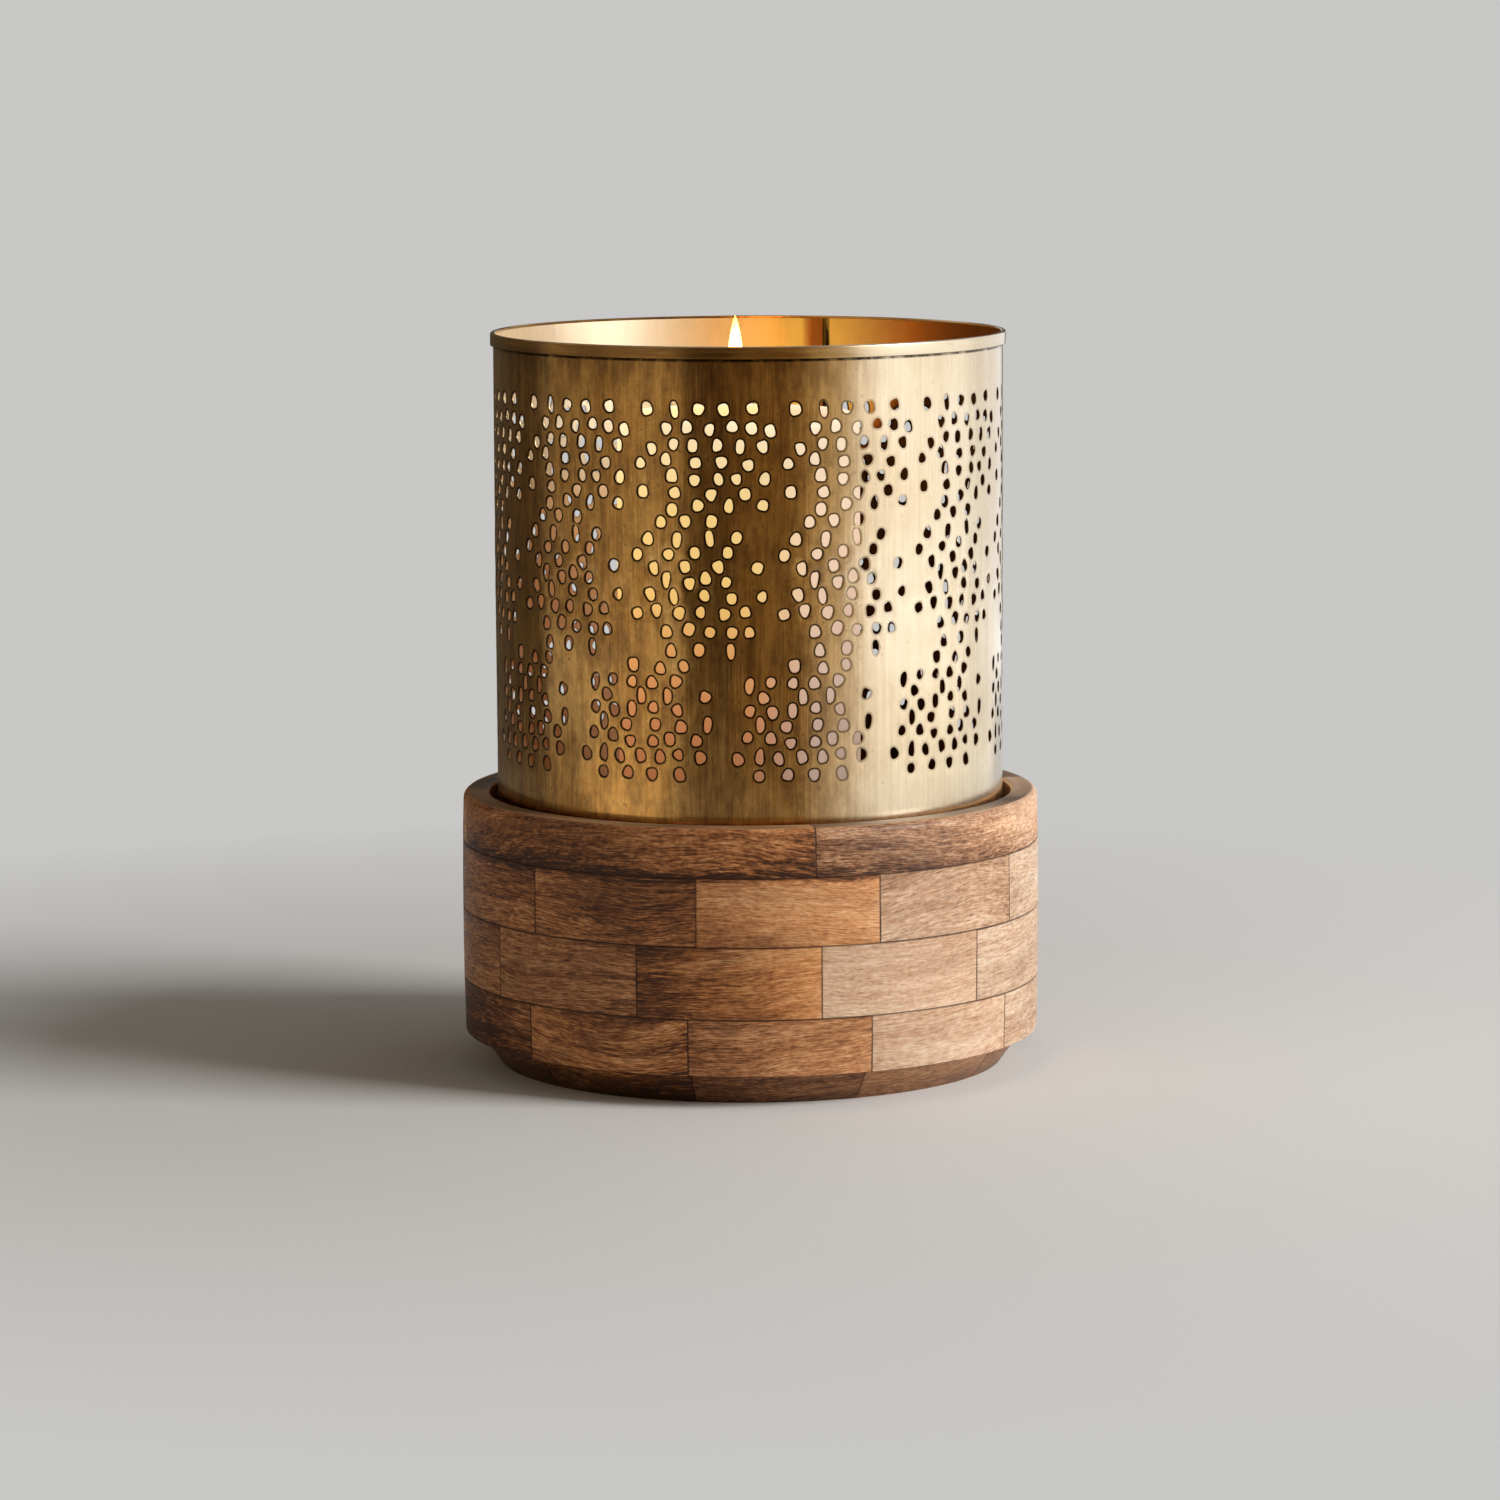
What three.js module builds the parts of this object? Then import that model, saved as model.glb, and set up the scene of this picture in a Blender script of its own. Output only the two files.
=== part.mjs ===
// Hurricane candle holder: a perforated brass shade stands in the recess of a turned wood base,
// which is glued up from curved blocks in courses, round a pillar candle.
// Millimetres, +Z up, origin at the centre of the foot. The front faces -Y, and every angle is
// counted in degrees from the front towards +X.
import * as THREE from 'three';

// Shade: a rolled brass sheet with a lapped seam and a hoop round its top edge
const SHADE_RADIUS = 100.9;
const SHADE_HEIGHT = 201.2;
const SHEET_THICKNESS = 0.9;
const SEAM_ANGLE = 162;
const LAP_WIDTH = 8;
const RIM_HEIGHT = 4.8;
const RIM_THICKNESS = 0.7;
const SHADE_FACETS = 66;

// Perforation: upright holes in staggered columns, parted into clusters by bare wedges
const HOLE_WIDTH = 4.8;
const HOLE_HEIGHT = 5.8;
const ROW_PITCH = 11;
const STAGGER = 0.25;
const BARE_TOP = 21;
const BARE_BOTTOM = 42;
// Each band's share of the perforated height, with the count and place of its bare wedges and
// their half-widths at its lower and upper edge, as shares of the space between two wedges.
const BANDS = [
  { from: 0, to: 0.34, wedges: 10, first: -4.4, lower: 0.1, upper: 0.28 },
  { from: 0.34, to: 0.68, wedges: 11, first: 5.6, lower: 0.22, upper: 0.12 },
  { from: 0.68, to: 1, wedges: 11, first: 6.5, lower: 0.2, upper: 0.08 },
];

// Wood base: three courses of blocks under a ring of longer segments, on a sloping foot
const RING_WALL = 11;
const RING_HEIGHT = 19.2;
const UPPER_COURSE_HEIGHT = 26.5;
const MIDDLE_COURSE_HEIGHT = 28;
const LOWER_FACE_HEIGHT = 22;
const FOOT_HEIGHT = 12.8;
const FOOT_LEDGE = 5;
const FOOT_SLOPE = 9;
const BARREL = 0.6;
const SHOULDER_WIDTH = 12;
const OUTER_ROUND = 3;
const INNER_ROUND = 1.5;
const BLOCKS_PER_COURSE = 10;
const RING_SEGMENTS = 4;
const RING_JOINT_ANGLE = 12.5;
const UPPER_JOINT_ANGLE = -10.5;
const MIDDLE_JOINT_ANGLE = -22.4;
const LOWER_JOINT_ANGLE = -12.2;
const FACET_ANGLE = 6;
const ROUND_STEPS = 3;

// Floor of the well, let into a rebate of the lower course
const FLOOR_THICKNESS = 16;
const REBATE_WIDTH = 6;
const REBATE_LEVEL = 12.7;

// Pillar candle
const CANDLE_RADIUS = 48.5;
const CANDLE_HEIGHT = 229;
const CANDLE_EDGE_ROUND = 4;
const CANDLE_FOOT_CHAMFER = 1.5;
const CANDLE_OFFSET_X = -4;
const POOL_RADIUS = 36;
const POOL_DEPTH = 5;
const WICK_RADIUS = 1.5;
const WICK_RISE = 12;
const CANDLE_FACETS = 48;
const WICK_FACETS = 8;

// Clearances
const SHADE_FIT = 3.1;
const GLUE_LINE = 0.3;
const SEAT_GAP = 0.3;
const SOLDER_GAP = 0.3;
const WICK_FIT = 0.3;

// Places and radii that follow from the sizes above
const RING_BORE = SHADE_RADIUS + SHADE_FIT;
const BASE_RADIUS = RING_BORE + RING_WALL;
const WELL_RADIUS = SHADE_RADIUS - SHEET_THICKNESS - SHOULDER_WIDTH;
const LOWER_TOP = FOOT_HEIGHT + LOWER_FACE_HEIGHT;
const MIDDLE_TOP = LOWER_TOP + MIDDLE_COURSE_HEIGHT;
const UPPER_TOP = MIDDLE_TOP + UPPER_COURSE_HEIGHT;
const RING_TOP = UPPER_TOP + RING_HEIGHT;
const SHADE_BOTTOM = UPPER_TOP - GLUE_LINE + SEAT_GAP;
const FLOOR_BOTTOM = REBATE_LEVEL + SEAT_GAP;
const CANDLE_BOTTOM = FLOOR_BOTTOM + FLOOR_THICKNESS + SEAT_GAP;
const FACET_STEP = 360 / SHADE_FACETS;
const LAP_ANGLE = THREE.MathUtils.radToDeg(LAP_WIDTH / SHADE_RADIUS);
const LAP_START = SEAM_ANGLE + LAP_ANGLE;

// Finishes. Neighbouring wood pieces take tones that lie a stride apart in the list.
const BRASS = { color: 0xa8843f, roughness: 0.35, metalness: 1 };
const RIM_BRASS = { color: 0xb8954f, roughness: 0.3, metalness: 1 };
const FLOOR_WOOD = { color: 0x8a6040, roughness: 0.65, metalness: 0 };
const WAX = { color: 0xf3e6cf, roughness: 0.5, metalness: 0 };
const COTTON = { color: 0x2a211b, roughness: 0.9, metalness: 0 };
const OILED_WOOD = { roughness: 0.55, metalness: 0 };
const WOOD_TONES = [0x6b4630, 0x8a5a38, 0x9c6b45, 0xb98a62, 0x7a4f33];
const TONE_STRIDE = 3;

function named(name, geometry, finish) {
  const mesh = new THREE.Mesh(geometry, new THREE.MeshStandardMaterial(finish));
  mesh.name = name;
  return mesh;
}

// A point at a radius, an angle from the front and a height.
function polar(radius, degrees, z) {
  const angle = THREE.MathUtils.degToRad(degrees);
  return [radius * Math.sin(angle), -radius * Math.cos(angle), z];
}

// A mesh from corner points and triangles of their numbers.
function solid(points, triangles) {
  const geometry = new THREE.BufferGeometry();
  geometry.setAttribute('position', new THREE.Float32BufferAttribute(points.flat(), 3));
  geometry.setIndex(triangles.flat());
  geometry.computeVertexNormals();
  return geometry;
}

// A full turn of a closed or axis-to-axis profile of [radius, height] points.
function turned(profile, facets) {
  const points = profile.map(([radius, height]) => new THREE.Vector2(radius, height));
  return new THREE.LatheGeometry(points, facets).rotateX(Math.PI / 2);
}

// Part of a turn of a closed profile, counter-clockwise in radius and height, with flat ends.
function turnedSegment(profile, sweep) {
  const steps = Math.max(1, Math.round(sweep / FACET_ANGLE));
  const count = profile.length;
  const points = [];
  const triangles = [];
  for (let step = 0; step <= steps; step += 1) {
    const angle = (sweep * step) / steps;
    profile.forEach(([radius, height]) => points.push(polar(radius, angle, height)));
  }
  for (let step = 0; step < steps; step += 1) {
    for (let i = 0; i < count; i += 1) {
      const a = step * count + i;
      const b = step * count + ((i + 1) % count);
      triangles.push([a, a + count, b + count], [a, b + count, b]);
    }
  }
  const outline = profile.map(([radius, height]) => new THREE.Vector2(radius, height));
  THREE.ShapeUtils.triangulateShape(outline, []).forEach(([a, b, c]) => {
    const end = steps * count;
    triangles.push([a, b, c], [end + a, end + c, end + b]);
  });
  return solid(points, triangles);
}

// Points of a rounded corner: a quarter arc about a centre, between two angles.
function arc(radius, height, round, fromDegrees, toDegrees) {
  return Array.from({ length: ROUND_STEPS + 1 }, (_, i) => {
    const angle = THREE.MathUtils.degToRad(fromDegrees + ((toDegrees - fromDegrees) * i) / ROUND_STEPS);
    return [radius + round * Math.cos(angle), height + round * Math.sin(angle)];
  });
}

// The wood's outer radius at a height: the wall swells slightly between the foot and the top.
function wallRadius(z) {
  const half = (RING_TOP - FOOT_HEIGHT) / 2;
  const fromMiddle = (z - FOOT_HEIGHT - half) / half;
  return BASE_RADIUS - BARREL * fromMiddle ** 2;
}

// Profile of a plain course block between two heights.
function blockProfile(bottom, top) {
  const middle = (bottom + top) / 2;
  return [
    [WELL_RADIUS, bottom],
    [wallRadius(bottom), bottom],
    [wallRadius(middle), middle],
    [wallRadius(top), top],
    [WELL_RADIUS, top],
  ];
}

// Profile of a lower block: the foot outside, the floor's rebate inside.
function lowerProfile(top) {
  const ledge = wallRadius(FOOT_HEIGHT) - FOOT_LEDGE;
  const lip = WELL_RADIUS - REBATE_WIDTH;
  return [
    [lip, 0],
    [ledge - FOOT_SLOPE, 0],
    [ledge, FOOT_HEIGHT],
    [wallRadius(FOOT_HEIGHT), FOOT_HEIGHT],
    [wallRadius(top), top],
    [WELL_RADIUS, top],
    [WELL_RADIUS, REBATE_LEVEL],
    [lip, REBATE_LEVEL],
  ];
}

// Profile of the top ring, with both upper edges rounded.
function ringProfile() {
  const outer = wallRadius(RING_TOP);
  return [
    [RING_BORE, UPPER_TOP],
    [wallRadius(UPPER_TOP), UPPER_TOP],
    ...arc(outer - OUTER_ROUND, RING_TOP - OUTER_ROUND, OUTER_ROUND, 0, 90),
    ...arc(RING_BORE + INNER_ROUND, RING_TOP - INNER_ROUND, INNER_ROUND, 90, 180),
  ];
}

// A ring of equal glued pieces, whose first joint lies at the given angle.
function gluedRing(label, profile, copies, jointAngle, firstTone) {
  const ring = new THREE.Group();
  const share = 360 / copies;
  const glueAngle = THREE.MathUtils.radToDeg(GLUE_LINE / BASE_RADIUS);
  const geometry = turnedSegment(profile, share - glueAngle);
  for (let i = 0; i < copies; i += 1) {
    const tone = WOOD_TONES[(firstTone + TONE_STRIDE * i) % WOOD_TONES.length];
    const name = `${label}_${String(i + 1).padStart(2, '0')}`;
    const piece = named(name, geometry, { ...OILED_WOOD, color: tone });
    piece.rotation.z = THREE.MathUtils.degToRad(jointAngle + share * i + glueAngle / 2);
    ring.add(piece);
  }
  return ring;
}

function floorBoard() {
  const radius = WELL_RADIUS - SEAT_GAP;
  const profile = [[0, 0], [radius, 0], [radius, FLOOR_THICKNESS], [0, FLOOR_THICKNESS]];
  const board = named('floor_board', turned(profile, 360 / FACET_ANGLE), FLOOR_WOOD);
  board.position.z = FLOOR_BOTTOM;
  return board;
}

function woodBase() {
  const base = new THREE.Group();
  const lower = lowerProfile(LOWER_TOP - GLUE_LINE);
  const middle = blockProfile(LOWER_TOP, MIDDLE_TOP - GLUE_LINE);
  const upper = blockProfile(MIDDLE_TOP, UPPER_TOP - GLUE_LINE);
  base.add(gluedRing('lower_course_block', lower, BLOCKS_PER_COURSE, LOWER_JOINT_ANGLE, 0));
  base.add(gluedRing('middle_course_block', middle, BLOCKS_PER_COURSE, MIDDLE_JOINT_ANGLE, 2));
  base.add(gluedRing('upper_course_block', upper, BLOCKS_PER_COURSE, UPPER_JOINT_ANGLE, 1));
  base.add(gluedRing('top_ring_segment', ringProfile(), RING_SEGMENTS, RING_JOINT_ANGLE, 0));
  base.add(floorBoard());
  return base;
}

// Corner lines of the sheet's facets: the inner flap of the lap, then once round over it.
// Each has the angle and the outer radius of the sheet there.
function sheetStations() {
  const sagitta = SHADE_RADIUS * (1 - Math.cos(THREE.MathUtils.degToRad(FACET_STEP / 2)));
  const flapRadius = SHADE_RADIUS - SHEET_THICKNESS - SOLDER_GAP - sagitta;
  const stations = [
    { angle: SEAM_ANGLE, radius: flapRadius },
    { angle: LAP_START, radius: flapRadius },
  ];
  for (let k = 1; k <= SHADE_FACETS; k += 1) {
    stations.push({ angle: LAP_START + k * FACET_STEP, radius: SHADE_RADIUS });
  }
  return stations;
}

// Whether a hole at an angle, and at a share of the perforated height, lies outside the bare wedges.
function insideCluster(angle, rise) {
  const band = BANDS.find(({ from, to }) => rise >= from && rise <= to);
  const share = (rise - band.from) / (band.to - band.from);
  const halfWidth = band.lower + (band.upper - band.lower) * share;
  const turns = ((angle - band.first) * band.wedges) / 360;
  return Math.abs(turns - Math.round(turns)) > halfWidth;
}

// Corners of a box about a centre on the flat sheet, counter-clockwise.
function boxCorners(u, v, width, height) {
  return [
    new THREE.Vector2(u - width / 2, v - height / 2),
    new THREE.Vector2(u + width / 2, v - height / 2),
    new THREE.Vector2(u + width / 2, v + height / 2),
    new THREE.Vector2(u - width / 2, v + height / 2),
  ];
}

// Outlines of the holes in one facet strip, down its middle. Every other strip's holes sit higher.
function stripHoles(facet, angle, width, height) {
  const span = height - BARE_TOP - BARE_BOTTOM;
  const rows = Math.floor(span / ROW_PITCH);
  const shift = facet % 2 ? STAGGER : -STAGGER;
  const holes = [];
  for (let row = 0; row < rows; row += 1) {
    const rise = (row + 0.5 + shift) / rows;
    if (insideCluster(angle, rise)) {
      holes.push(boxCorners(width / 2, BARE_BOTTOM + rise * span, HOLE_WIDTH, HOLE_HEIGHT));
    }
  }
  return holes;
}

// The perforated sheet: one flat strip per facet, with its holes, between an outer and an inner skin.
function shadeSheet() {
  const height = SHADE_HEIGHT - RIM_THICKNESS - SOLDER_GAP;
  const stations = sheetStations();
  const points = [];
  const triangles = [];
  for (let facet = 0; facet + 1 < stations.length; facet += 1) {
    const left = stations[facet];
    const right = stations[facet + 1];
    const middle = (left.angle + right.angle) / 2;
    const width = 2 * SHADE_RADIUS * Math.sin(THREE.MathUtils.degToRad((right.angle - left.angle) / 2));
    const plain = facet < 2 || facet + 2 === stations.length;
    const contour = boxCorners(width / 2, height / 2, width, height);
    const holes = plain ? [] : stripHoles(facet, middle, width, height);
    const outline = [...contour, ...holes.flat()];
    const outer = points.length;
    const inner = outer + outline.length;
    [0, SHEET_THICKNESS].forEach((depth) => {
      const a = new THREE.Vector3(...polar(left.radius - depth, left.angle, 0));
      const b = new THREE.Vector3(...polar(right.radius - depth, right.angle, 0));
      outline.forEach(({ x, y }) => {
        const spot = a.clone().lerp(b, x / width);
        points.push([spot.x, spot.y, y]);
      });
    });
    THREE.ShapeUtils.triangulateShape(contour, holes).forEach(([a, b, c]) => {
      triangles.push([outer + a, outer + b, outer + c], [inner + a, inner + c, inner + b]);
    });
    const wall = (i, j) => triangles.push(
      [outer + i, inner + i, inner + j],
      [outer + i, inner + j, outer + j],
    );
    wall(0, 1);
    wall(2, 3);
    if (facet === 0) wall(3, 0);
    if (facet + 2 === stations.length) wall(1, 2);
    let start = contour.length;
    holes.forEach((hole) => {
      hole.forEach((_, i) => wall(start + ((i + 1) % hole.length), start + i));
      start += hole.length;
    });
  }
  return named('shade_sheet', solid(points, triangles), BRASS);
}

// The hoop round the top edge, with a narrow flange over the sheet's edge.
function shadeRim() {
  const inside = SHADE_RADIUS + SOLDER_GAP;
  const outside = inside + RIM_THICKNESS;
  const flangeEdge = SHADE_RADIUS - SHEET_THICKNESS;
  const bottom = SHADE_HEIGHT - RIM_HEIGHT;
  const flangeBottom = SHADE_HEIGHT - RIM_THICKNESS;
  const profile = [
    [inside, bottom],
    [outside, bottom],
    [outside, flangeBottom],
    [inside, SHADE_HEIGHT],
    [flangeEdge, SHADE_HEIGHT],
    [flangeEdge, flangeBottom],
    [inside, flangeBottom],
    [inside, bottom],
  ];
  const rim = named('shade_rim', turned(profile, SHADE_FACETS), RIM_BRASS);
  rim.rotation.z = THREE.MathUtils.degToRad(LAP_START);
  return rim;
}

function shade() {
  const group = new THREE.Group();
  group.add(shadeSheet(), shadeRim());
  group.position.z = SHADE_BOTTOM;
  return group;
}

function candle() {
  const bore = WICK_RADIUS + WICK_FIT;
  const wax = [
    [bore, 0],
    [CANDLE_RADIUS - CANDLE_FOOT_CHAMFER, 0],
    [CANDLE_RADIUS, CANDLE_FOOT_CHAMFER],
    ...arc(CANDLE_RADIUS - CANDLE_EDGE_ROUND, CANDLE_HEIGHT - CANDLE_EDGE_ROUND, CANDLE_EDGE_ROUND, 0, 90),
    [POOL_RADIUS, CANDLE_HEIGHT - POOL_DEPTH],
    [bore, CANDLE_HEIGHT - POOL_DEPTH],
    [bore, 0],
  ];
  const wickTop = CANDLE_HEIGHT - POOL_DEPTH + WICK_RISE;
  const wick = [
    [0, 0],
    [WICK_RADIUS, 0],
    [WICK_RADIUS, wickTop - WICK_RADIUS],
    [0, wickTop],
  ];
  const group = new THREE.Group();
  group.add(named('candle_wax', turned(wax, CANDLE_FACETS), WAX));
  group.add(named('candle_wick', turned(wick, WICK_FACETS), COTTON));
  group.position.set(CANDLE_OFFSET_X, 0, CANDLE_BOTTOM);
  return group;
}

const holder = new THREE.Group();
holder.add(woodBase(), shade(), candle());

export default holder;
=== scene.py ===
"""Looks of a hurricane candle holder: a perforated brass shade, a block-built wood base and a lit candle.

Metres, +Z up, front towards -Y. Angles are degrees from the front towards +X.
"""

import math
import random

import bpy
import numpy as np
from mathutils import Matrix, Vector, noise
from mathutils.geometry import delaunay_2d_cdt

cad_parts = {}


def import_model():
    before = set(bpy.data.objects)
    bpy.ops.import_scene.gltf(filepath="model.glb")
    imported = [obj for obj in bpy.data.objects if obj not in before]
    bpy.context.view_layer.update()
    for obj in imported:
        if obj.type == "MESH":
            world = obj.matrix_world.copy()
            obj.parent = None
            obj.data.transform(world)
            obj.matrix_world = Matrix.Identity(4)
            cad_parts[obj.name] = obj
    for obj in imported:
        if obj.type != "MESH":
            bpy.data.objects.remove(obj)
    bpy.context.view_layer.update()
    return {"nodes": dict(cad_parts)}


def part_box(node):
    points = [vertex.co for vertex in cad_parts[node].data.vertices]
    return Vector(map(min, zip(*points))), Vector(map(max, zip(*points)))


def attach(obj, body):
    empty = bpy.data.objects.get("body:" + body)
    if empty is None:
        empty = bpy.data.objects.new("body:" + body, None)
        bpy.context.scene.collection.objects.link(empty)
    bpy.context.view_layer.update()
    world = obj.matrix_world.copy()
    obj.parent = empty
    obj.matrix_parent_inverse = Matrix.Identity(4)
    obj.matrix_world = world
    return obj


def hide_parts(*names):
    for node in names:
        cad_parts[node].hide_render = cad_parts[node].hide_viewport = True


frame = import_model()

# Camera, fitted to the photograph's round edges
CAMERA_PLACE = (0.0, -2.221, 0.427)
CAMERA_PITCH = 7.79
CAMERA_ROLL = -0.28
CAMERA_LENS = 134.8
SENSOR_WIDTH = 36.0

# Shapes of the wood base
BARREL = 0.0006
FOOT_HEIGHT = 0.0128
FOOT_LEDGE = 0.005
FOOT_SLOPE = 0.009
LEDGE_EASE = 0.0006
LEDGE_EASE_HEIGHT = 0.001
RING_OUTER_ROUND = 0.003
RING_INNER_ROUND = 0.0015
ARRIS = 0.00015
EDGE_BAND = 0.0005
JOINT_CLOSE = 0.0001
BLOCK_STEP = 1.5
BLOCK_STEPS_LEAST = 6
BOARD_STEPS = 96
NO_LENGTH = 1e-6

# Looks of the wood: the grain leans by degrees, and its texture shifts by metres
GRAIN_LEAN = 4
GRAIN_BOW = 0.2
GRAIN_SHIFT = 9
SWAY_UP = 0.006
SWAY_IN = 0.005
# Painted shade in the ring's bore beside the shade's gap, and a painted highlight on its rounded inner
# edge
BORE_PAINTED_SHADE_AND_HIGHLIGHT = 0.3
# Painted highlights: the ring's outer shoulder and flat top are lightened where the lamps would light
# them
SHOULDER_PAINTED_HIGHLIGHT = 0.15
TOP_PAINTED_HIGHLIGHT = 0.6
# Painted shade on the sloping foot under the ledge, stronger on warmer pieces
FOOT_PAINTED_SHADE = 0.24
FOOT_WARMTH = 0.6
# Darker bands along the joint between the ring and the upper blocks: at the ring's foot and at the
# blocks' tops
RING_FOOT_DARKENING = 0.26
RING_FOOT_DARKENING_HEIGHT = 0.004
BLOCK_TOP_DARKENING = 0.3
BLOCK_TOP_DARKENING_REACH = 0.003
BLOCK_HEART = 0.35
RING_HEART = 0.6
BOARD_TONE = 0.5
BOARD_WARMTH = 0.5
SEEDS_PER_COURSE = 100

# How light each piece is at its two ends and how warm, from the one right of the first joint towards +X.
# The second and third pieces of each course face the key lamp and are paler and barely warm: partly their
# own wood, partly a painted sheen.
TONES = {
    "upper_course_block": [
        (0.64, 0.69, 0.8), (0.66, 0.65, 0.12), (0.68, 0.68, 0.0), (0.44, 0.5, 0.5), (0.55, 0.48, 0.8),
        (0.36, 0.44, 0.6), (0.6, 0.66, 0.3), (0.45, 0.4, 0.7), (0.42, 0.28, 0.8), (0.43, 0.42, 0.8),
    ],
    "middle_course_block": [
        (0.23, 0.76, 0.9), (0.78, 0.75, 0.14), (0.68, 0.68, 0.0), (0.52, 0.46, 0.6), (0.36, 0.42, 0.8),
        (0.58, 0.62, 0.3), (0.44, 0.36, 0.8), (0.62, 0.56, 0.4), (0.48, 0.44, 0.7), (0.53, 0.33, 0.7),
    ],
    "lower_course_block": [
        (0.5, 0.62, 0.7), (0.77, 0.74, 0.14), (0.7, 0.66, 0.0), (0.4, 0.48, 0.7), (0.6, 0.54, 0.4),
        (0.46, 0.5, 0.6), (0.34, 0.4, 0.8), (0.56, 0.6, 0.3), (0.28, 0.26, 0.8), (0.47, 0.25, 0.9),
    ],
    "top_ring_segment": [
        (0.3, 0.74, 0.36), (0.44, 0.42, 0.6), (0.38, 0.46, 0.7), (0.4, 0.36, 0.8),
    ],
}

# Shapes of the brass shade
SHEET_THICKNESS = 0.0005
SHEET_INSET = 0.0002
SEAM_ANGLE = 162.0
LAP_WIDTH = 0.008
JOGGLE_LENGTH = 0.008
LAP_DROP = 0.0009
SKIN_GRID = 0.0045
GRID_SEARCH = 0.006
GRID_CLEAR = 0.0042
MERGE = 1e-7
RIM_GAP = 0.0002
RIM_ROUND = 0.0007
RIM_EASE = 0.0003
RIM_STEPS = 240
# Ripples: size, and how often they change round the shade and in one metre up
SHEET_RIPPLE = (0.0001, 2.2, 12.0)
PUCKER_RIPPLE = (0.00032, 9.0, 80.0)
RIM_RIPPLE = (0.00009, 6.0, 60.0)
PUCKER_HEIGHT = 0.2
PUCKER_REACH = 0.025
STEADY_FOOT = 0.02
STEADY_TOP = 0.012

# Holes: sizes are half widths and half heights, from the least to the most
HOLE_SIDES = 14
HOLE_SPACING = 0.0066
HOLE_JITTER = 0.0009
HOLE_MARGIN = 0.004
HOLE_WIDE = (0.0017, 0.0021)
HOLE_TALL = (0.0019, 0.0025)
HOLE_TILT = 22
SLOT_SHARE = 0.16
SLOT_WIDE = (0.0014, 0.0017)
SLOT_TALL = (0.0027, 0.0032)
SLOT_TILT = 8
HOLE_SQUARE = (2.0, 3.0)
HOLE_LOBE = 0.11
HOLE_LOBES = 3
PUSH_ROUNDS = 40
PUSH_SHARE = 0.25
DIMPLE_WIDTH = 0.001
DIMPLE_DEPTH = 0.00003
PUCKER_DIMPLE = 0.0001

# Rows of holes in one repeat: height, first and last place as shares of the repeat, number of holes
UPPER_ROWS = [
    (0.2667, 0.16, 0.87, 5),
    (0.2594, 0.31, 1.0, 6),
    (0.2524, 0.19, 0.94, 6),
    (0.2464, 0.11, 0.85, 5),
    (0.2404, 0.32, 0.94, 5),
    (0.2354, 0.11, 0.83, 4),
    (0.2309, 0.32, 0.93, 4),
    (0.2238, 0.25, 0.61, 3),
    (0.2173, 0.17, 0.77, 4),
    (0.2113, 0.09, 0.7, 4),
    (0.2063, 0.19, 0.91, 4),
    (0.2018, 0.29, 0.7, 4),
    (0.1953, 0.16, 0.92, 5),
    (0.1893, 0.08, 0.83, 6),
    (0.1823, 0.3, 0.86, 5),
    (0.1753, 0.32, 0.72, 3),
]
LOWER_ROWS = [
    (0.1683, 0.37, 0.69, 3),
    (0.1618, 0.08, 0.63, 5),
    (0.1563, 0.17, 0.82, 4),
    (0.1518, 0.08, 0.63, 5),
    (0.1463, 0.15, 0.83, 5),
    (0.1408, 0.07, 0.75, 6),
    (0.1338, 0.01, 0.78, 7),
    (0.1263, 0.14, 0.65, 4),
]
# Rows, repeats round the shade, angle where the first repeat starts
MOTIFS = [(UPPER_ROWS, 11, -27.7), (LOWER_ROWS, 10, -39.1)]

# Looks of the brass: reaches in metres, fades as the values where they start and end
SHEET_ROUGHNESS = 0.2
RIM_ROUGHNESS = 0.22
CREASE_REACH = 0.0018
STAIN_REACH = 0.012
RIM_CREASE = 0.0004
RIM_BRUSH = 0.3
# Dark corner beside the lap's inner edge: partly tarnish, partly painted shade of the lap's step
SEAM_DARK_WIDTH = 0.0022
SEAM_DARK_SPREAD = 1.8
# The polished side faces the right-hand lamps: its paler, cleaner brass is partly a painted highlight
POLISHED_HIGHLIT_ANGLE = 78.0
POLISHED_HIGHLIT_FADE = (0.35, 0.75)
# The inside's lit side: painted light from the key lamp falls there, and soot and painted shade keep
# clear of it
LIT_SIDE_ANGLE = -113.0
LIT_SIDE_CLEAR_DEPTH = 0.055
INSIDE_GLOW_FADE = (0.1, 0.45)
# Painted shade on the inside away from its lit side, then soot low down and on the lap
SIDE_PAINTED_SHADE_FADE = (0.42, 0.72)
FAR_PAINTED_SHADE_FADE = (0.6, 0.85)
SOOT_DEPTH = 0.012
SOOT_DEPTH_FADE = 0.022
SIDE_PAINTED_SHADE = 0.5
FAR_PAINTED_SHADE = 0.35
SOOT_DEEP = 0.5
SOOT_DEEP_GOLD = 0.3
LAP_SOOT = 0.65

# Candle: the foot's points are inwards and up, the pool's are a radius and a depth below the top
WAX_STEPS = 96
WAX_FOOT = [(0.002, 0.0), (0.0006, 0.0006), (0.0, 0.002)]
WAX_SHOULDER = 0.005
WAX_POOL = [(0.036, 0.0022), (0.03, 0.0042), (0.018, 0.005), (0.004, 0.005), (0.0, 0.0048)]
WAX_ROWS = 12
WAX_ROWS_INSET = 0.02
WAX_RIPPLE = (0.0005, 1.4, 12.0)
WAX_INSET = 0.0004
GLOW_BOTTOM = 0.1
POOL_RADIUS = 0.037
POOL_DEPTH = 0.01
POOL_GLOW = 0.58
PALE_SIDE_FADE = (0.05, 0.7)
WICK_STEPS = 12
WICK_SIDES = 10
WICK_SUNK = 0.006
WICK_SLIM = 0.8
WICK_CURL = Vector((-0.0015, -0.001, 0.0))
WICK_TAPER = 0.35
WICK_BULGE = 0.12
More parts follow.
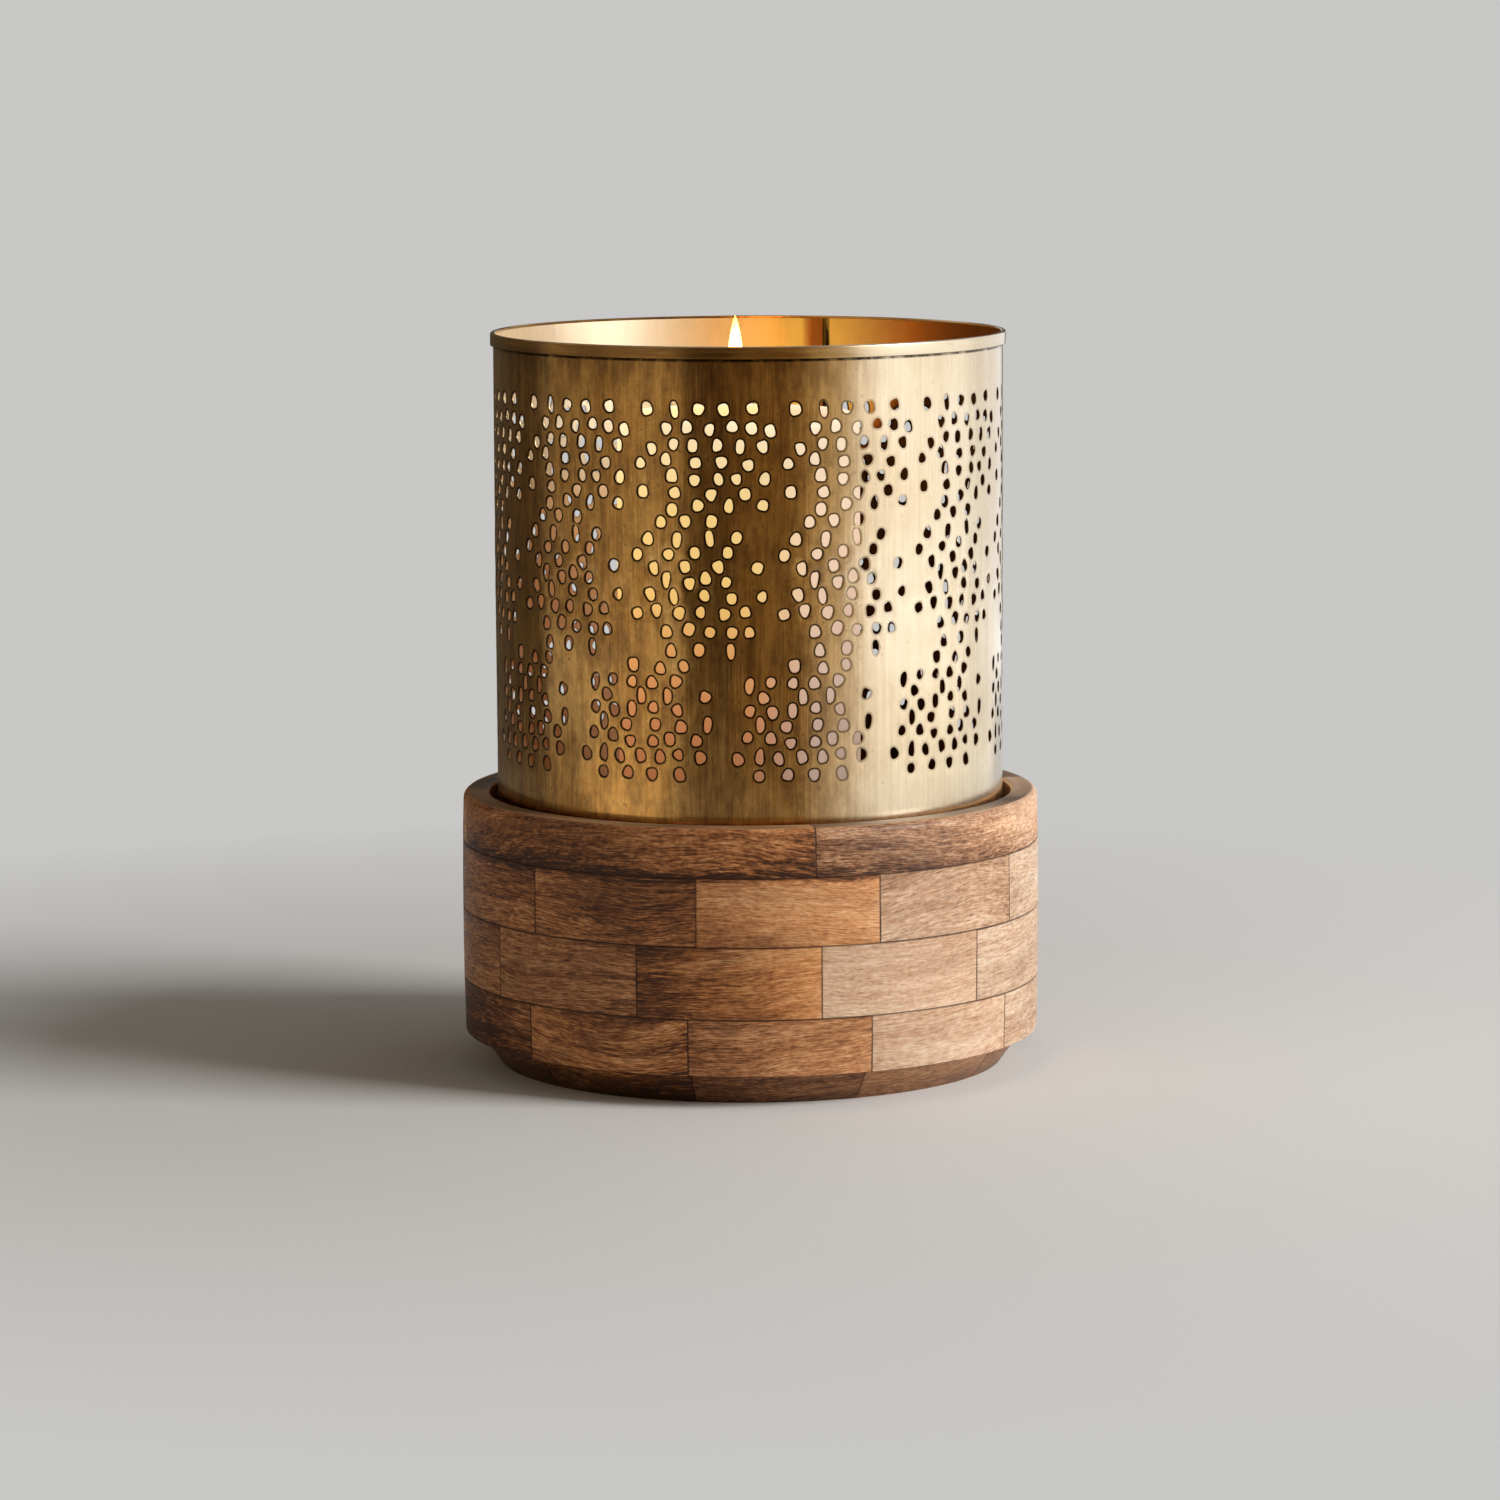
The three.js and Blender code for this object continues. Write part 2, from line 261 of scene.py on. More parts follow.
WICK_BULGES = 9
WICK_TWIST = 260
WICK_BRAID = 0.15
FLAME_BOTTOM = 0.2615
FLAME_TIP = 0.2965
FLAME_RADIUS = 0.0033
FLAME_LEAN = -0.001
FLAME_ROWS = 28
FLAME_STEPS = 40
FLAME_WIDEST = 0.39
FLAME_FOOT_POWER = 0.55
FLAME_TIP_POWER = 0.85
FLAME_STRENGTH = 22.0

# Studio
PALE = (0.58, 0.575, 0.565, 1.0)
ROOM = (0.096, 0.088, 0.08, 1.0)
FLOOR_RADIUS = 3.0
FLOOR_SIDES = 72
FLOOR_FADE = (0.28, 0.65)
POWER_OF_RADIANCE = 4
PANEL_HEIGHT = 1.0
PANEL_LIFT = 0.005
STRIP_HEIGHT = 0.032
WHITE = (1.0, 1.0, 1.0)
WARM = (1.0, 0.8, 0.51)
AMBER = (1.0, 0.81, 0.49)
CREAM = (1.0, 0.97, 0.9)
HONEY = (1.0, 0.84, 0.58)
KEY_DISTANCE = 4.4
KEY_ANGLE = 72
KEY_HEIGHT = 2.24
KEY_AIM = (0.0, 0.0, 0.12)
KEY_SIZE = (2.08, 2.08)
KEY_RADIANCE = 16.0
# Softboxes: name, first and last angle, distance, brightness, tint, height if low
PANELS = [
    ("panel_lead", 24, 46, 1.1, 0.42, AMBER),
    ("panel_right", 46, 112, 1.0, 0.89, WHITE),
    ("panel_right_back", 112, 160, 1.2, 0.7, WHITE),
    ("panel_left", -62, -27, 1.0, 0.34, WARM),
    ("panel_left_side", -98, -62, 1.0, 0.21, WARM),
    ("strip_right", 36, 92, 0.8, 0.5, CREAM, STRIP_HEIGHT),
    ("strip_right_back", 92, 140, 0.8, 0.5, CREAM, STRIP_HEIGHT),
    ("strip_left", -80, -30, 0.68, 1.35, HONEY, STRIP_HEIGHT),
]
# Cards: name, first and last angle, distance, height, light of their own
CARDS = [
    ("card_front_left", -27, -6, 0.72, 0.7, (0.105, 0.066, 0.028)),
    ("card_front_right", -6, 24, 0.72, 0.7, (0.23, 0.15, 0.062)),
    ("card_left_low", -98, -27, 0.72, 0.055, (0.23, 0.165, 0.08)),
    ("card_left", -100, -27, 1.5, 1.1, (0.06, 0.044, 0.024)),
    ("card_left_side", -174, -98, 0.72, 0.7, (0.075, 0.052, 0.026)),
    ("card_right", 24, 174, 1.5, 1.1, (0.06, 0.045, 0.026)),
]
CARD_STEP = 4

rng = random.Random(11)


def colour(red, green, blue):
    """A colour written in display values from 0 to 255, as the linear values that nodes take."""
    parts = [c / 255 for c in (red, green, blue)]
    linear = [c / 12.92 if c <= 0.04045 else ((c + 0.055) / 1.055) ** 2.4 for c in parts]
    return (*linear, 1.0)


def polar(radius, degrees, z):
    """The point at a radius, an angle from the front and a height."""
    angle = math.radians(degrees)
    return Vector((radius * math.sin(angle), -radius * math.cos(angle), z))


def smooth(value, low, high):
    """A soft step from 0 at low to 1 at high."""
    t = min(1.0, max(0.0, (value - low) / (high - low)))
    return t * t * (3 - 2 * t)


def ripple(degrees, height, size, turns, rises):
    """A fixed unevenness round the axis: its size, and how often it changes round and in one metre up."""
    return size * noise.noise(polar(turns, degrees, height * rises))


def reach(node):
    """Angles, radii and heights that a CAD node spans."""
    points = np.array([v.co for v in frame["nodes"][node].data.vertices])
    radius = np.hypot(points[:, 0], points[:, 1])
    middle = math.degrees(math.atan2(points[:, 0].mean(), -points[:, 1].mean()))
    swing = (np.degrees(np.arctan2(points[:, 0], -points[:, 1])) - middle + 180) % 360 - 180
    return {
        "middle": middle,
        "half": swing.max(),
        "inner": radius.min(),
        "outer": radius.max(),
        "bottom": points[:, 2].min(),
        "top": points[:, 2].max(),
    }


def new_object(name, data):
    """An object in the scene for a mesh, a lamp or a camera."""
    obj = bpy.data.objects.new(name, data)
    bpy.context.scene.collection.objects.link(obj)
    return obj


def new_mesh(name, verts, faces, material):
    """An object in the scene with a mesh of one material."""
    mesh = bpy.data.meshes.new(name)
    mesh.from_pydata([tuple(v) for v in verts], [], faces)
    mesh.update()
    mesh.materials.append(material)
    return new_object(name, mesh)


def piece(name, verts, faces, material, body, stands_for, sharp=35):
    """A mesh object that rides on a body and stands for CAD nodes, with edges sharp above an angle."""
    obj = new_mesh(name, verts, faces, material)
    obj.data.shade_smooth()
    obj.data.set_sharp_from_angle(angle=math.radians(sharp))
    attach(obj, body)
    if stands_for:
        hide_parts(*stands_for)
    return obj


def store(obj, **layers):
    """Values at the vertices for the material: a number or vector for each, or one number for all."""
    for name, values in layers.items():
        values = np.asarray(values, dtype=np.float32)
        if values.ndim == 0:
            values = np.full(len(obj.data.vertices), values)
        is_vector = values.ndim == 2
        layer = obj.data.attributes.new(name, "FLOAT_VECTOR" if is_vector else "FLOAT", "POINT")
        layer.data.foreach_set("vector" if is_vector else "value", values.ravel())


def arc(radius, height, size, start, end, steps=7):
    """Points of a rounded corner about a centre, between two angles."""
    turns = np.radians(np.linspace(start, end, steps))
    return [(radius + size * math.cos(t), height + size * math.sin(t)) for t in turns]


def lathe(name, section, steps, material, body, stands_for, centre=(0.0, 0.0), wobble=None, sharp=35):
    """A full turn of a section of (radius, height) points from axis to axis, or closed on itself."""
    closed = section[0] == section[-1]
    points = section[:-1] if closed else section
    verts, rows = [], []
    for radius, height in points:
        if radius == 0.0:
            verts.append(Vector((centre[0], centre[1], height)))
            rows.append([len(verts) - 1] * steps)
            continue
        rows.append(list(range(len(verts), len(verts) + steps)))
        for k in range(steps):
            turn = 360 * k / steps
            swell = wobble(turn, height) if wobble else 0.0
            verts.append(polar(radius + swell, turn, height) + Vector((*centre, 0.0)))
    faces = []
    pairs = list(zip(rows, rows[1:])) + ([(rows[-1], rows[0])] if closed else [])
    for lower, upper in pairs:
        for k in range(steps):
            following = (k + 1) % steps
            corners = [lower[k], lower[following], upper[following], upper[k]]
            faces.append(tuple(dict.fromkeys(corners)))
    return piece(name, verts, faces, material, body, stands_for, sharp)


# Measures of the CAD nodes
BLOCK = reach("middle_course_block_01")
RING = reach("top_ring_segment_01")
RIM = reach("shade_rim")
WOOD_RADIUS = BLOCK["outer"]
SHADE_RADIUS = reach("shade_sheet")["outer"]
SHADE_BOTTOM, SHADE_TOP = [corner.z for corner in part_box("shade_sheet")]
RIM_BOTTOM, RIM_TOP = [corner.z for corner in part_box("shade_rim")]
ROUND = 2 * math.pi * SHADE_RADIUS
SHEET_LENGTH = ROUND + LAP_WIDTH
WAX_LOW, WAX_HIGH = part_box("candle_wax")
CANDLE_X = (WAX_LOW.x + WAX_HIGH.x) / 2
CANDLE_Y = (WAX_LOW.y + WAX_HIGH.y) / 2
CANDLE_RADIUS = (WAX_HIGH.x - WAX_LOW.x) / 2

# Colours of the wood
PALE_WOOD = [
    (0.0, 60, 37, 23), (0.25, 112, 77, 51), (0.5, 158, 121, 91), (0.75, 190, 160, 133),
    (1.0, 214, 192, 169),
]
WARM_WOOD = [
    (0.0, 50, 25, 11), (0.25, 104, 58, 27), (0.5, 160, 97, 49), (0.75, 202, 138, 81),
    (1.0, 224, 172, 118),
]
HEARTWOOD = colour(62, 31, 17)
WOOD_SMUDGE = colour(76, 42, 25)
WOOD_PORE = colour(50, 27, 15)
WOOD_JOINT = colour(44, 24, 14)

# Colours of the brass, outside and inside
POLISHED_HIGHLIT_BRASS = [(0.0, 198, 173, 133), (0.45, 221, 200, 164), (1.0, 236, 221, 195)]
GOLDEN_BRASS = [(0.0, 122, 84, 38), (0.45, 188, 142, 75), (1.0, 222, 182, 113)]
BRASS_STAIN = colour(100, 68, 30)
BRASS_SPOT = colour(92, 65, 34)
BRASS_LIP = colour(22, 14, 8)
BRASS_CREASE = colour(18, 11, 6)
# Painted light inside: cream where the key lamp falls, bright gold where the flame's glow falls, and
# browns of each
INSIDE_PAINTED_HIGHLIGHT = colour(230, 212, 182)
INSIDE_PAINTED_GLOW = colour(255, 222, 108)
BROWN_PAINTED_LIT = colour(222, 184, 146)
BROWN_PAINTED_GLOW = colour(196, 114, 32)
SOOT_AND_SHADE_BLACK = colour(40, 27, 16)

# Colours of the candle: the wax's painted glow from its foot to its top, on its warm and on its paler
# side; the paler side is painted light from the right-hand lamps
WAX = [(0.3, 178, 162, 134), (0.7, 196, 182, 156)]
WARM_GLOW = [
    (0.0, 146, 90, 56), (0.25, 210, 134, 82), (0.42, 234, 164, 94), (0.55, 249, 202, 116),
    (0.78, 250, 214, 134), (1.0, 255, 232, 190),
]
PALER_GLOW = [(0.0, 182, 152, 140), (0.35, 212, 178, 160), (0.7, 242, 204, 174), (1.0, 255, 232, 200)]
CHAR = [(0.3, 18, 13, 10), (0.7, 52, 40, 32)]
EMBER = [(0.6, 0, 0, 0), (1.0, 255, 96, 20)]
FLAME = [
    (0.0, 60, 70, 160), (0.16, 255, 130, 40), (0.4, 255, 176, 88), (0.8, 255, 166, 72),
    (1.0, 255, 120, 30),
]
FLAME_BODY = colour(255, 200, 120)

# Colours of the studio
PAPER = [(0.3, 206, 205, 203), (0.7, 212, 211, 209)]
FELT = [(0.3, 18, 14, 9), (0.7, 24, 19, 12)]

# Spans of values: most of a broad and of a fine noise texture, and all from 0 to 1
BROAD = (0.3, 0.7)
FINE = (0.25, 0.75)
UNIT = (0.0, 1.0)


class Nodes:
    """Short words for building a node material."""

    def __init__(self, name):
        self.material = bpy.data.materials.new(name)
        self.material.use_nodes = True
        self.tree = self.material.node_tree
        self.shader = self.tree.nodes["Principled BSDF"]

    def add(self, kind, **settings):
        node = self.tree.nodes.new("ShaderNode" + kind)
        for key, value in settings.items():
            setattr(node, key, value)
        return node

    def put(self, socket, value):
        """Links an output, or sets a plain value, on a socket."""
        if isinstance(value, bpy.types.NodeSocket):
            self.tree.links.new(value, socket)
        else:
            socket.default_value = value

    def set(self, **values):
        """Values on the shader's own sockets, by their names with _ for spaces."""
        for key, value in values.items():
            self.put(self.shader.inputs[key.replace("_", " ")], value)

    def stored(self, name, output="Fac"):
        """A number, or with the output Vector a vector, from the mesh's vertices."""
        return self.add("Attribute", attribute_name=name).outputs[output]

    def place(self):
        """The point in the object's own coordinates."""
        return self.add("TexCoord").outputs["Object"]

    def math(self, operation, first, *others):
        """One operation on a run of values, from the first to the last."""
        total = first
        for other in others:
            node = self.add("Math", operation=operation)
            self.put(node.inputs[0], total)
            self.put(node.inputs[1], other)
            total = node.outputs[0]
        return total

    def plus(self, *values, clamp=False):
        total = self.math("ADD", *values)
        total.node.use_clamp = clamp
        return total

    def times(self, *values):
        return self.math("MULTIPLY", *values)

    def noise(self, vector, stretch, detail, roughness=0.5, distortion=0.0):
        """A noise texture over a vector, which is stretched first."""
        scaled = self.add("VectorMath", operation="MULTIPLY")
        self.put(scaled.inputs[0], vector)
        scaled.inputs[1].default_value = stretch
        node = self.add("TexNoise")
        self.put(node.inputs["Vector"], scaled.outputs[0])
        node.inputs["Scale"].default_value = 1.0
        node.inputs["Detail"].default_value = detail
        node.inputs["Roughness"].default_value = roughness
        node.inputs["Distortion"].default_value = distortion
        return node.outputs["Fac"]

    def remap(self, value, low, high, to_low=0.0, to_high=1.0):
        """A clamped straight line from one span of values to another."""
        node = self.add("MapRange")
        self.put(node.inputs[0], value)
        for socket, number in zip(node.inputs[1:5], (low, high, to_low, to_high)):
            socket.default_value = number
        return node.outputs[0]

    def swing(self, value, span, size):
        """A span of values as a swing to both sides of zero."""
        return self.remap(value, *span, -size, size)

    def ramp(self, value, stops):
        """A run of colours between stops: each a value, then red, green and blue as display values."""
        node = self.add("ValToRGB")
        self.put(node.inputs[0], value)
        elements = node.color_ramp.elements
        while len(elements) < len(stops):
            elements.new(0.5)
        for element, (place, *shade) in zip(elements, stops):
            element.position = place
            element.color = colour(*shade)
        return node.outputs[0]

    def mix(self, factor, first, second):
        node = self.add("Mix", data_type="RGBA")
        self.put(node.inputs[0], factor)
        self.put(node.inputs[6], first)
        self.put(node.inputs[7], second)
        return node.outputs[2]

    def bump(self, height, strength, distance):
        node = self.add("Bump")
        node.inputs["Strength"].default_value = strength
        node.inputs["Distance"].default_value = distance
        self.put(node.inputs["Height"], height)
        self.set(Normal=node.outputs[0])


def wood_material(name):
    """Oiled hardwood, with its grain along the piece: reads grain, tone, warmth, heart and edge."""
    n = Nodes(name)
    grain = n.stored("grain", "Vector")
    tone, warmth, heart, edge = map(n.stored, ("tone", "warmth", "heart", "edge"))
    sway = n.noise(grain, (16, 20, 24), detail=2.0)
    shift = n.add("CombineXYZ")
    n.put(shift.inputs["Z"], n.swing(sway, UNIT, SWAY_UP))
    n.put(shift.inputs["Y"], n.swing(sway, UNIT, -SWAY_IN))
    shifted = n.add("VectorMath", operation="ADD")
    n.put(shifted.inputs[0], grain)
    n.put(shifted.inputs[1], shift.outputs[0])
    bent = shifted.outputs[0]
    figure = n.noise(bent, (14, 26, 34), detail=2.0)
    bands = n.noise(bent, (7, 110, 150), detail=3.0, roughness=0.55)
    lines = n.noise(bent, (28, 420, 620), detail=4.0, roughness=0.65)
    fibres = n.noise(bent, (90, 1100, 1350), detail=4.0, roughness=0.7)
    threads = n.noise(bent, (170, 2100, 2500), detail=2.0, roughness=0.6)
    pores = n.noise(bent, (190, 1500, 1900), detail=1.0)
    smudges = n.noise(bent, (38, 60, 75), detail=6.0, roughness=0.65)
    streaks = n.noise(bent, (11, 60, 85), detail=4.0, roughness=0.6, distortion=0.6)
    speckle = n.noise(grain, (500, 900, 900), detail=2.0)
    vary = n.plus(
        n.swing(figure, BROAD, 0.16),
        n.swing(bands, FINE, 0.14),
        n.swing(lines, FINE, 0.16),
        n.swing(fibres, FINE, 0.19),
        n.swing(threads, FINE, 0.26),
    )
    vary = n.times(vary, n.remap(tone, 0.2, 0.8, 1.65, 0.55))
    flecks = n.times(n.swing(speckle, FINE, 1.0), n.remap(heart, 0.3, 1.0, 0.11, 0.26))
    level = n.plus(tone, vary, flecks, clamp=True)
    body = n.mix(warmth, n.ramp(level, PALE_WOOD), n.ramp(level, WARM_WOOD))
    # Pale pieces are calmer: fewer dark streaks, smudges and pores show on them
    stain = n.remap(tone, 0.5, 0.75, 1.0, 0.35)
    body = n.mix(n.times(n.remap(streaks, 0.47, 0.7), heart, stain), body, HEARTWOOD)
    body = n.mix(n.times(n.remap(smudges, 0.56, 0.7, 0.0, 0.5), stain), body, WOOD_SMUDGE)
    pit = n.remap(pores, 0.6, 0.72)
    body = n.mix(n.times(pit, 0.65, stain), body, WOOD_PORE)
    joint = n.times(edge, n.remap(figure, 0.35, 0.65, 0.35, 0.95))
    body = n.mix(joint, body, WOOD_JOINT)
    n.set(Base_Color=body, Roughness=n.remap(lines, 0.2, 0.8, 0.38, 0.54), Specular_IOR_Level=0.25)
    n.bump(n.math("SUBTRACT", n.times(fibres, 0.5), pit), strength=0.3, distance=0.0003)
    return n.material


def brass_material(name, roughness):
    """Antique brushed brass, streaked along the second coordinate of sheet.

    It also reads edge, crease, inside, the soot with painted shade, and the patina with painted light.
    """
    n = Nodes(name)
    sheet = n.stored("sheet", "Vector")
    edge, crease, inside = map(n.stored, ("edge", "crease", "inside"))
    soot, patina = map(n.stored, ("soot", "patina"))
    hairs = n.noise(sheet, (1600, 40, 1), detail=4.0, roughness=0.65)
    streaks = n.noise(sheet, (420, 9, 1), detail=4.0, roughness=0.6)
    clouds = n.noise(sheet, (26, 17, 1), detail=5.0, roughness=0.58, distortion=0.5)
    specks = n.noise(sheet, (340, 300, 1), detail=2.0)
    stains = n.noise(sheet, (170, 55, 1), detail=6.0, roughness=0.68)
    level = n.plus(
        n.remap(clouds, *BROAD, 0.08, 0.62),
        n.remap(streaks, *BROAD, 0.0, 0.4),
        n.times(n.swing(specks, BROAD, 0.1), patina),
        n.times(n.swing(hairs, BROAD, 1.0), n.remap(patina, *UNIT, 0.08, 0.22)),
        clamp=True,
    )
    # Golden-brown patina, and the paler polished side that stands partly for the right-hand lamps'
    # painted highlight
    body = n.mix(patina, n.ramp(level, POLISHED_HIGHLIT_BRASS), n.ramp(level, GOLDEN_BRASS))
    along = n.add("SeparateXYZ")
    n.put(along.inputs[0], sheet)
    near_rim = n.remap(along.outputs["Y"], RIM_BOTTOM - STAIN_REACH, RIM_BOTTOM, 0.0, 0.14)
    stained = n.remap(n.plus(stains, near_rim), 0.42, 0.68, 0.0, 0.72)
    body = n.mix(n.times(stained, n.remap(patina, *UNIT, 0.12, 1.0)), body, BRASS_STAIN)
    spots = n.times(n.remap(specks, 0.64, 0.74, 0.0, 0.5), n.remap(patina, *UNIT, 0.3, 1.0))
    body = n.mix(spots, body, BRASS_SPOT)
    # Painted light on the inside: cream on the lit side, the flame's gold away from it
    inside_painted_light = n.times(inside, n.remap(soot, *UNIT, 0.75, 0.0))
    body = n.mix(inside_painted_light, body, n.mix(patina, INSIDE_PAINTED_HIGHLIGHT, INSIDE_PAINTED_GLOW))
    # Soot, and painted shade away from the lit side, turn the inside brown, then black
    brown = n.mix(patina, BROWN_PAINTED_LIT, BROWN_PAINTED_GLOW)
    body = n.mix(n.remap(soot, 0.0, 0.5, 0.0, 0.9), body, brown)
    black = n.times(n.remap(soot, 0.5, 1.0), n.remap(clouds, *BROAD, 1.0, 0.85))
    body = n.mix(black, body, SOOT_AND_SHADE_BLACK)
    # Dark lip round each hole: partly oxide on the cut edge, partly painted shade of the hole's wall;
    # fainter on the polished side
    lip = n.times(
        n.remap(edge, 0.1, 0.45),
        n.remap(specks, 0.3, 0.6, 0.85, 1.0),
        n.remap(patina, *UNIT, 0.22, 1.0),
    )
    body = n.mix(lip, body, BRASS_LIP)
    # Dark line under the rim and along the seam inside: partly tarnish, partly painted shade
    tarnish_and_shade = n.times(
        n.remap(crease, 0.3, 0.6),
        n.remap(streaks, 0.35, 0.6, 0.8, 1.0),
        n.remap(stains, 0.35, 0.5, 0.5, 1.0),
    )
    body = n.mix(tarnish_and_shade, body, BRASS_CREASE)
    rough = n.plus(
        n.remap(clouds, *BROAD, roughness + 0.05, roughness - 0.03),
        n.remap(hairs, *BROAD, -0.04, 0.05),
        n.times(inside, 0.24),
        n.times(soot, 0.35),
    )
    bare = n.math("MAXIMUM", lip, tarnish_and_shade, soot)
    coat = n.times(n.remap(bare, *UNIT, 1.0, 0.0), n.remap(patina, *UNIT, 0.9, 0.3))
    n.set(Base_Color=body, Metallic=1.0, Roughness=rough)
    n.set(Coat_Weight=coat, Coat_Roughness=0.2, Coat_IOR=1.8)
    n.bump(n.plus(n.times(hairs, 0.6), streaks), strength=0.07, distance=0.0004)
    return n.material


def wax_material(name):
    """Ivory wax with a painted glow from the flame and painted lamp light on its paler side: reads glow,
    0 at the foot to 1 at the top, and side.
    """
    n = Nodes(name)
    glow, side = map(n.stored, ("glow", "side"))
    mottle = n.noise(n.place(), (40, 40, 26), detail=4.0)
    n.set(
        Base_Color=n.ramp(mottle, WAX),
        Roughness=n.remap(mottle, *BROAD, 0.38, 0.52),
        Subsurface_Weight=0.25,
        Subsurface_Radius=(0.012, 0.006, 0.003),
        Emission_Color=n.mix(side, n.ramp(glow, WARM_GLOW), n.ramp(glow, PALER_GLOW)),
        Emission_Strength=n.remap(glow, 0.0, 0.6, 0.6, 0.84),
    )
    n.bump(mottle, strength=0.2, distance=0.0008)
    return n.material


def wick_material(name):
    """Charred cotton: reads glow, from 0 at the wax to 1 at the ember."""
    n = Nodes(name)
    weave = n.noise(n.place(), (1500, 1500, 600), detail=2.0)
    n.set(
        Base_Color=n.ramp(weave, CHAR),
        Roughness=n.remap(weave, *BROAD, 0.8, 0.95),
        Emission_Color=n.ramp(n.stored("glow"), EMBER),
        Emission_Strength=2.0,
    )
    n.bump(weave, strength=0.5, distance=0.0003)
    return n.material


def flame_material(name):
    """The flame: reads glow, from 0 at its foot to 1 at its tip."""
    n = Nodes(name)
    glow = n.stored("glow")
    rise = n.remap(glow, 0.0, 0.3, 0.02, 1.0)
    fall = n.remap(glow, 0.3, 1.0, 1.0, 0.6)
    n.set(
        Base_Color=FLAME_BODY,
        Roughness=1.0,
        Emission_Color=n.ramp(glow, FLAME),
        Emission_Strength=n.times(rise, fall, FLAME_STRENGTH),
    )
    return n.material


def seen(tree):
    """A socket that is 1 for what the camera, metal or glass shows, and 0 for scattered light."""
    path = tree.nodes.new("ShaderNodeLightPath")
    total = path.outputs["Is Camera Ray"]
    for name in ("Is Glossy Ray", "Is Transmission Ray"):
        add = tree.nodes.new("ShaderNodeMath")
        add.use_clamp = True
        tree.links.new(total, add.inputs[0])
        tree.links.new(path.outputs[name], add.inputs[1])
        total = add.outputs[0]
    return total


def stage_material(name):
    """Pale paper with a fine tooth, which fades into the background away from the object."""
    n = Nodes(name)
    place = n.place()
    tooth = n.noise(place, (700, 700, 700), detail=2.0)
    n.set(Base_Color=n.ramp(tooth, PAPER), Roughness=0.9)
    away = n.add("VectorMath", operation="LENGTH")
    n.put(away.inputs[0], place)
    fade = n.remap(away.outputs["Value"], *FLOOR_FADE)
    background = n.add("Emission")
    background.inputs["Color"].default_value = PALE
    blend = n.add("MixShader")
    n.put(blend.inputs[0], n.times(fade, seen(n.tree)))
    n.put(blend.inputs[1], n.shader.outputs[0])
    n.put(blend.inputs[2], background.outputs[0])
    n.put(n.tree.nodes["Material Output"].inputs["Surface"], blend.outputs[0])
    return n.material


def card_material(name, light):
    """Dark brown felt, which keeps a little light of its own."""
    n = Nodes(name)
    felt = n.noise(n.place(), (300, 300, 300), detail=2.0)
    n.set(Base_Color=n.ramp(felt, FELT), Roughness=1.0)
    n.set(Emission_Color=(*light, 1.0), Emission_Strength=1.0)
    return n.material


# Wood base
def wall_radius(z):
    """The wood's outer radius at a height: the wall swells slightly between the foot and the top."""
    half = (RING["top"] - FOOT_HEIGHT) / 2
    return WOOD_RADIUS - BARREL * ((z - FOOT_HEIGHT - half) / half) ** 2


def wall_points(bottom, top):
    """The outer face between two heights, with an eased arris and a narrow band at each end."""
    heights = [bottom + ARRIS, bottom + EDGE_BAND, (bottom + top) / 2]
    heights += [top - BLOCK_TOP_DARKENING_REACH, top - EDGE_BAND, top - ARRIS]
    face = [(wall_radius(z), z) for z in heights]
    low = (wall_radius(bottom) - ARRIS, bottom)
    high = (wall_radius(top) - ARRIS, top)
    return [low, *face, high]


def course_profile(part):
    """A plain block's section, counter-clockwise in radius and height."""
    bottom, top, inner = part["bottom"], part["top"], part["inner"]
    return [(inner, bottom), *wall_points(bottom - JOINT_CLOSE, top + JOINT_CLOSE), (inner, top)]


def lower_profile(part):
    """A lower block's section, with the sloping foot and the rebate for the floor board."""
    well = BLOCK["inner"]
    lip = part["inner"]
    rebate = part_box("floor_board")[0].z - ARRIS
    ledge = wall_radius(FOOT_HEIGHT) - FOOT_LEDGE
    foot = ledge - FOOT_SLOPE
    return [
        (lip, 0.0),
        (foot - ARRIS, 0.0),
        (foot, ARRIS),
        (ledge - LEDGE_EASE, FOOT_HEIGHT - LEDGE_EASE_HEIGHT),
        (ledge + LEDGE_EASE, FOOT_HEIGHT),
        *wall_points(FOOT_HEIGHT, part["top"] + JOINT_CLOSE),
        (well, part["top"]),
        (well, rebate),
        (lip, rebate),
    ]


def ring_profile(part):
    """The top ring's section, with both upper edges rounded."""
    bottom, top, bore = part["bottom"] - JOINT_CLOSE, part["top"], part["inner"]
    outer = wall_radius(top)
    return [
        (bore, bottom),
        (wall_radius(bottom) - ARRIS, bottom),
        (wall_radius(bottom), bottom + ARRIS),
        (wall_radius(bottom), bottom + EDGE_BAND),
        (wall_radius(bottom), bottom + RING_FOOT_DARKENING_HEIGHT),
        *arc(outer - RING_OUTER_ROUND, top - RING_OUTER_ROUND, RING_OUTER_ROUND, 0, 90),
        *arc(bore + RING_INNER_ROUND, top - RING_INNER_ROUND, RING_INNER_ROUND, 90, 180),
    ]


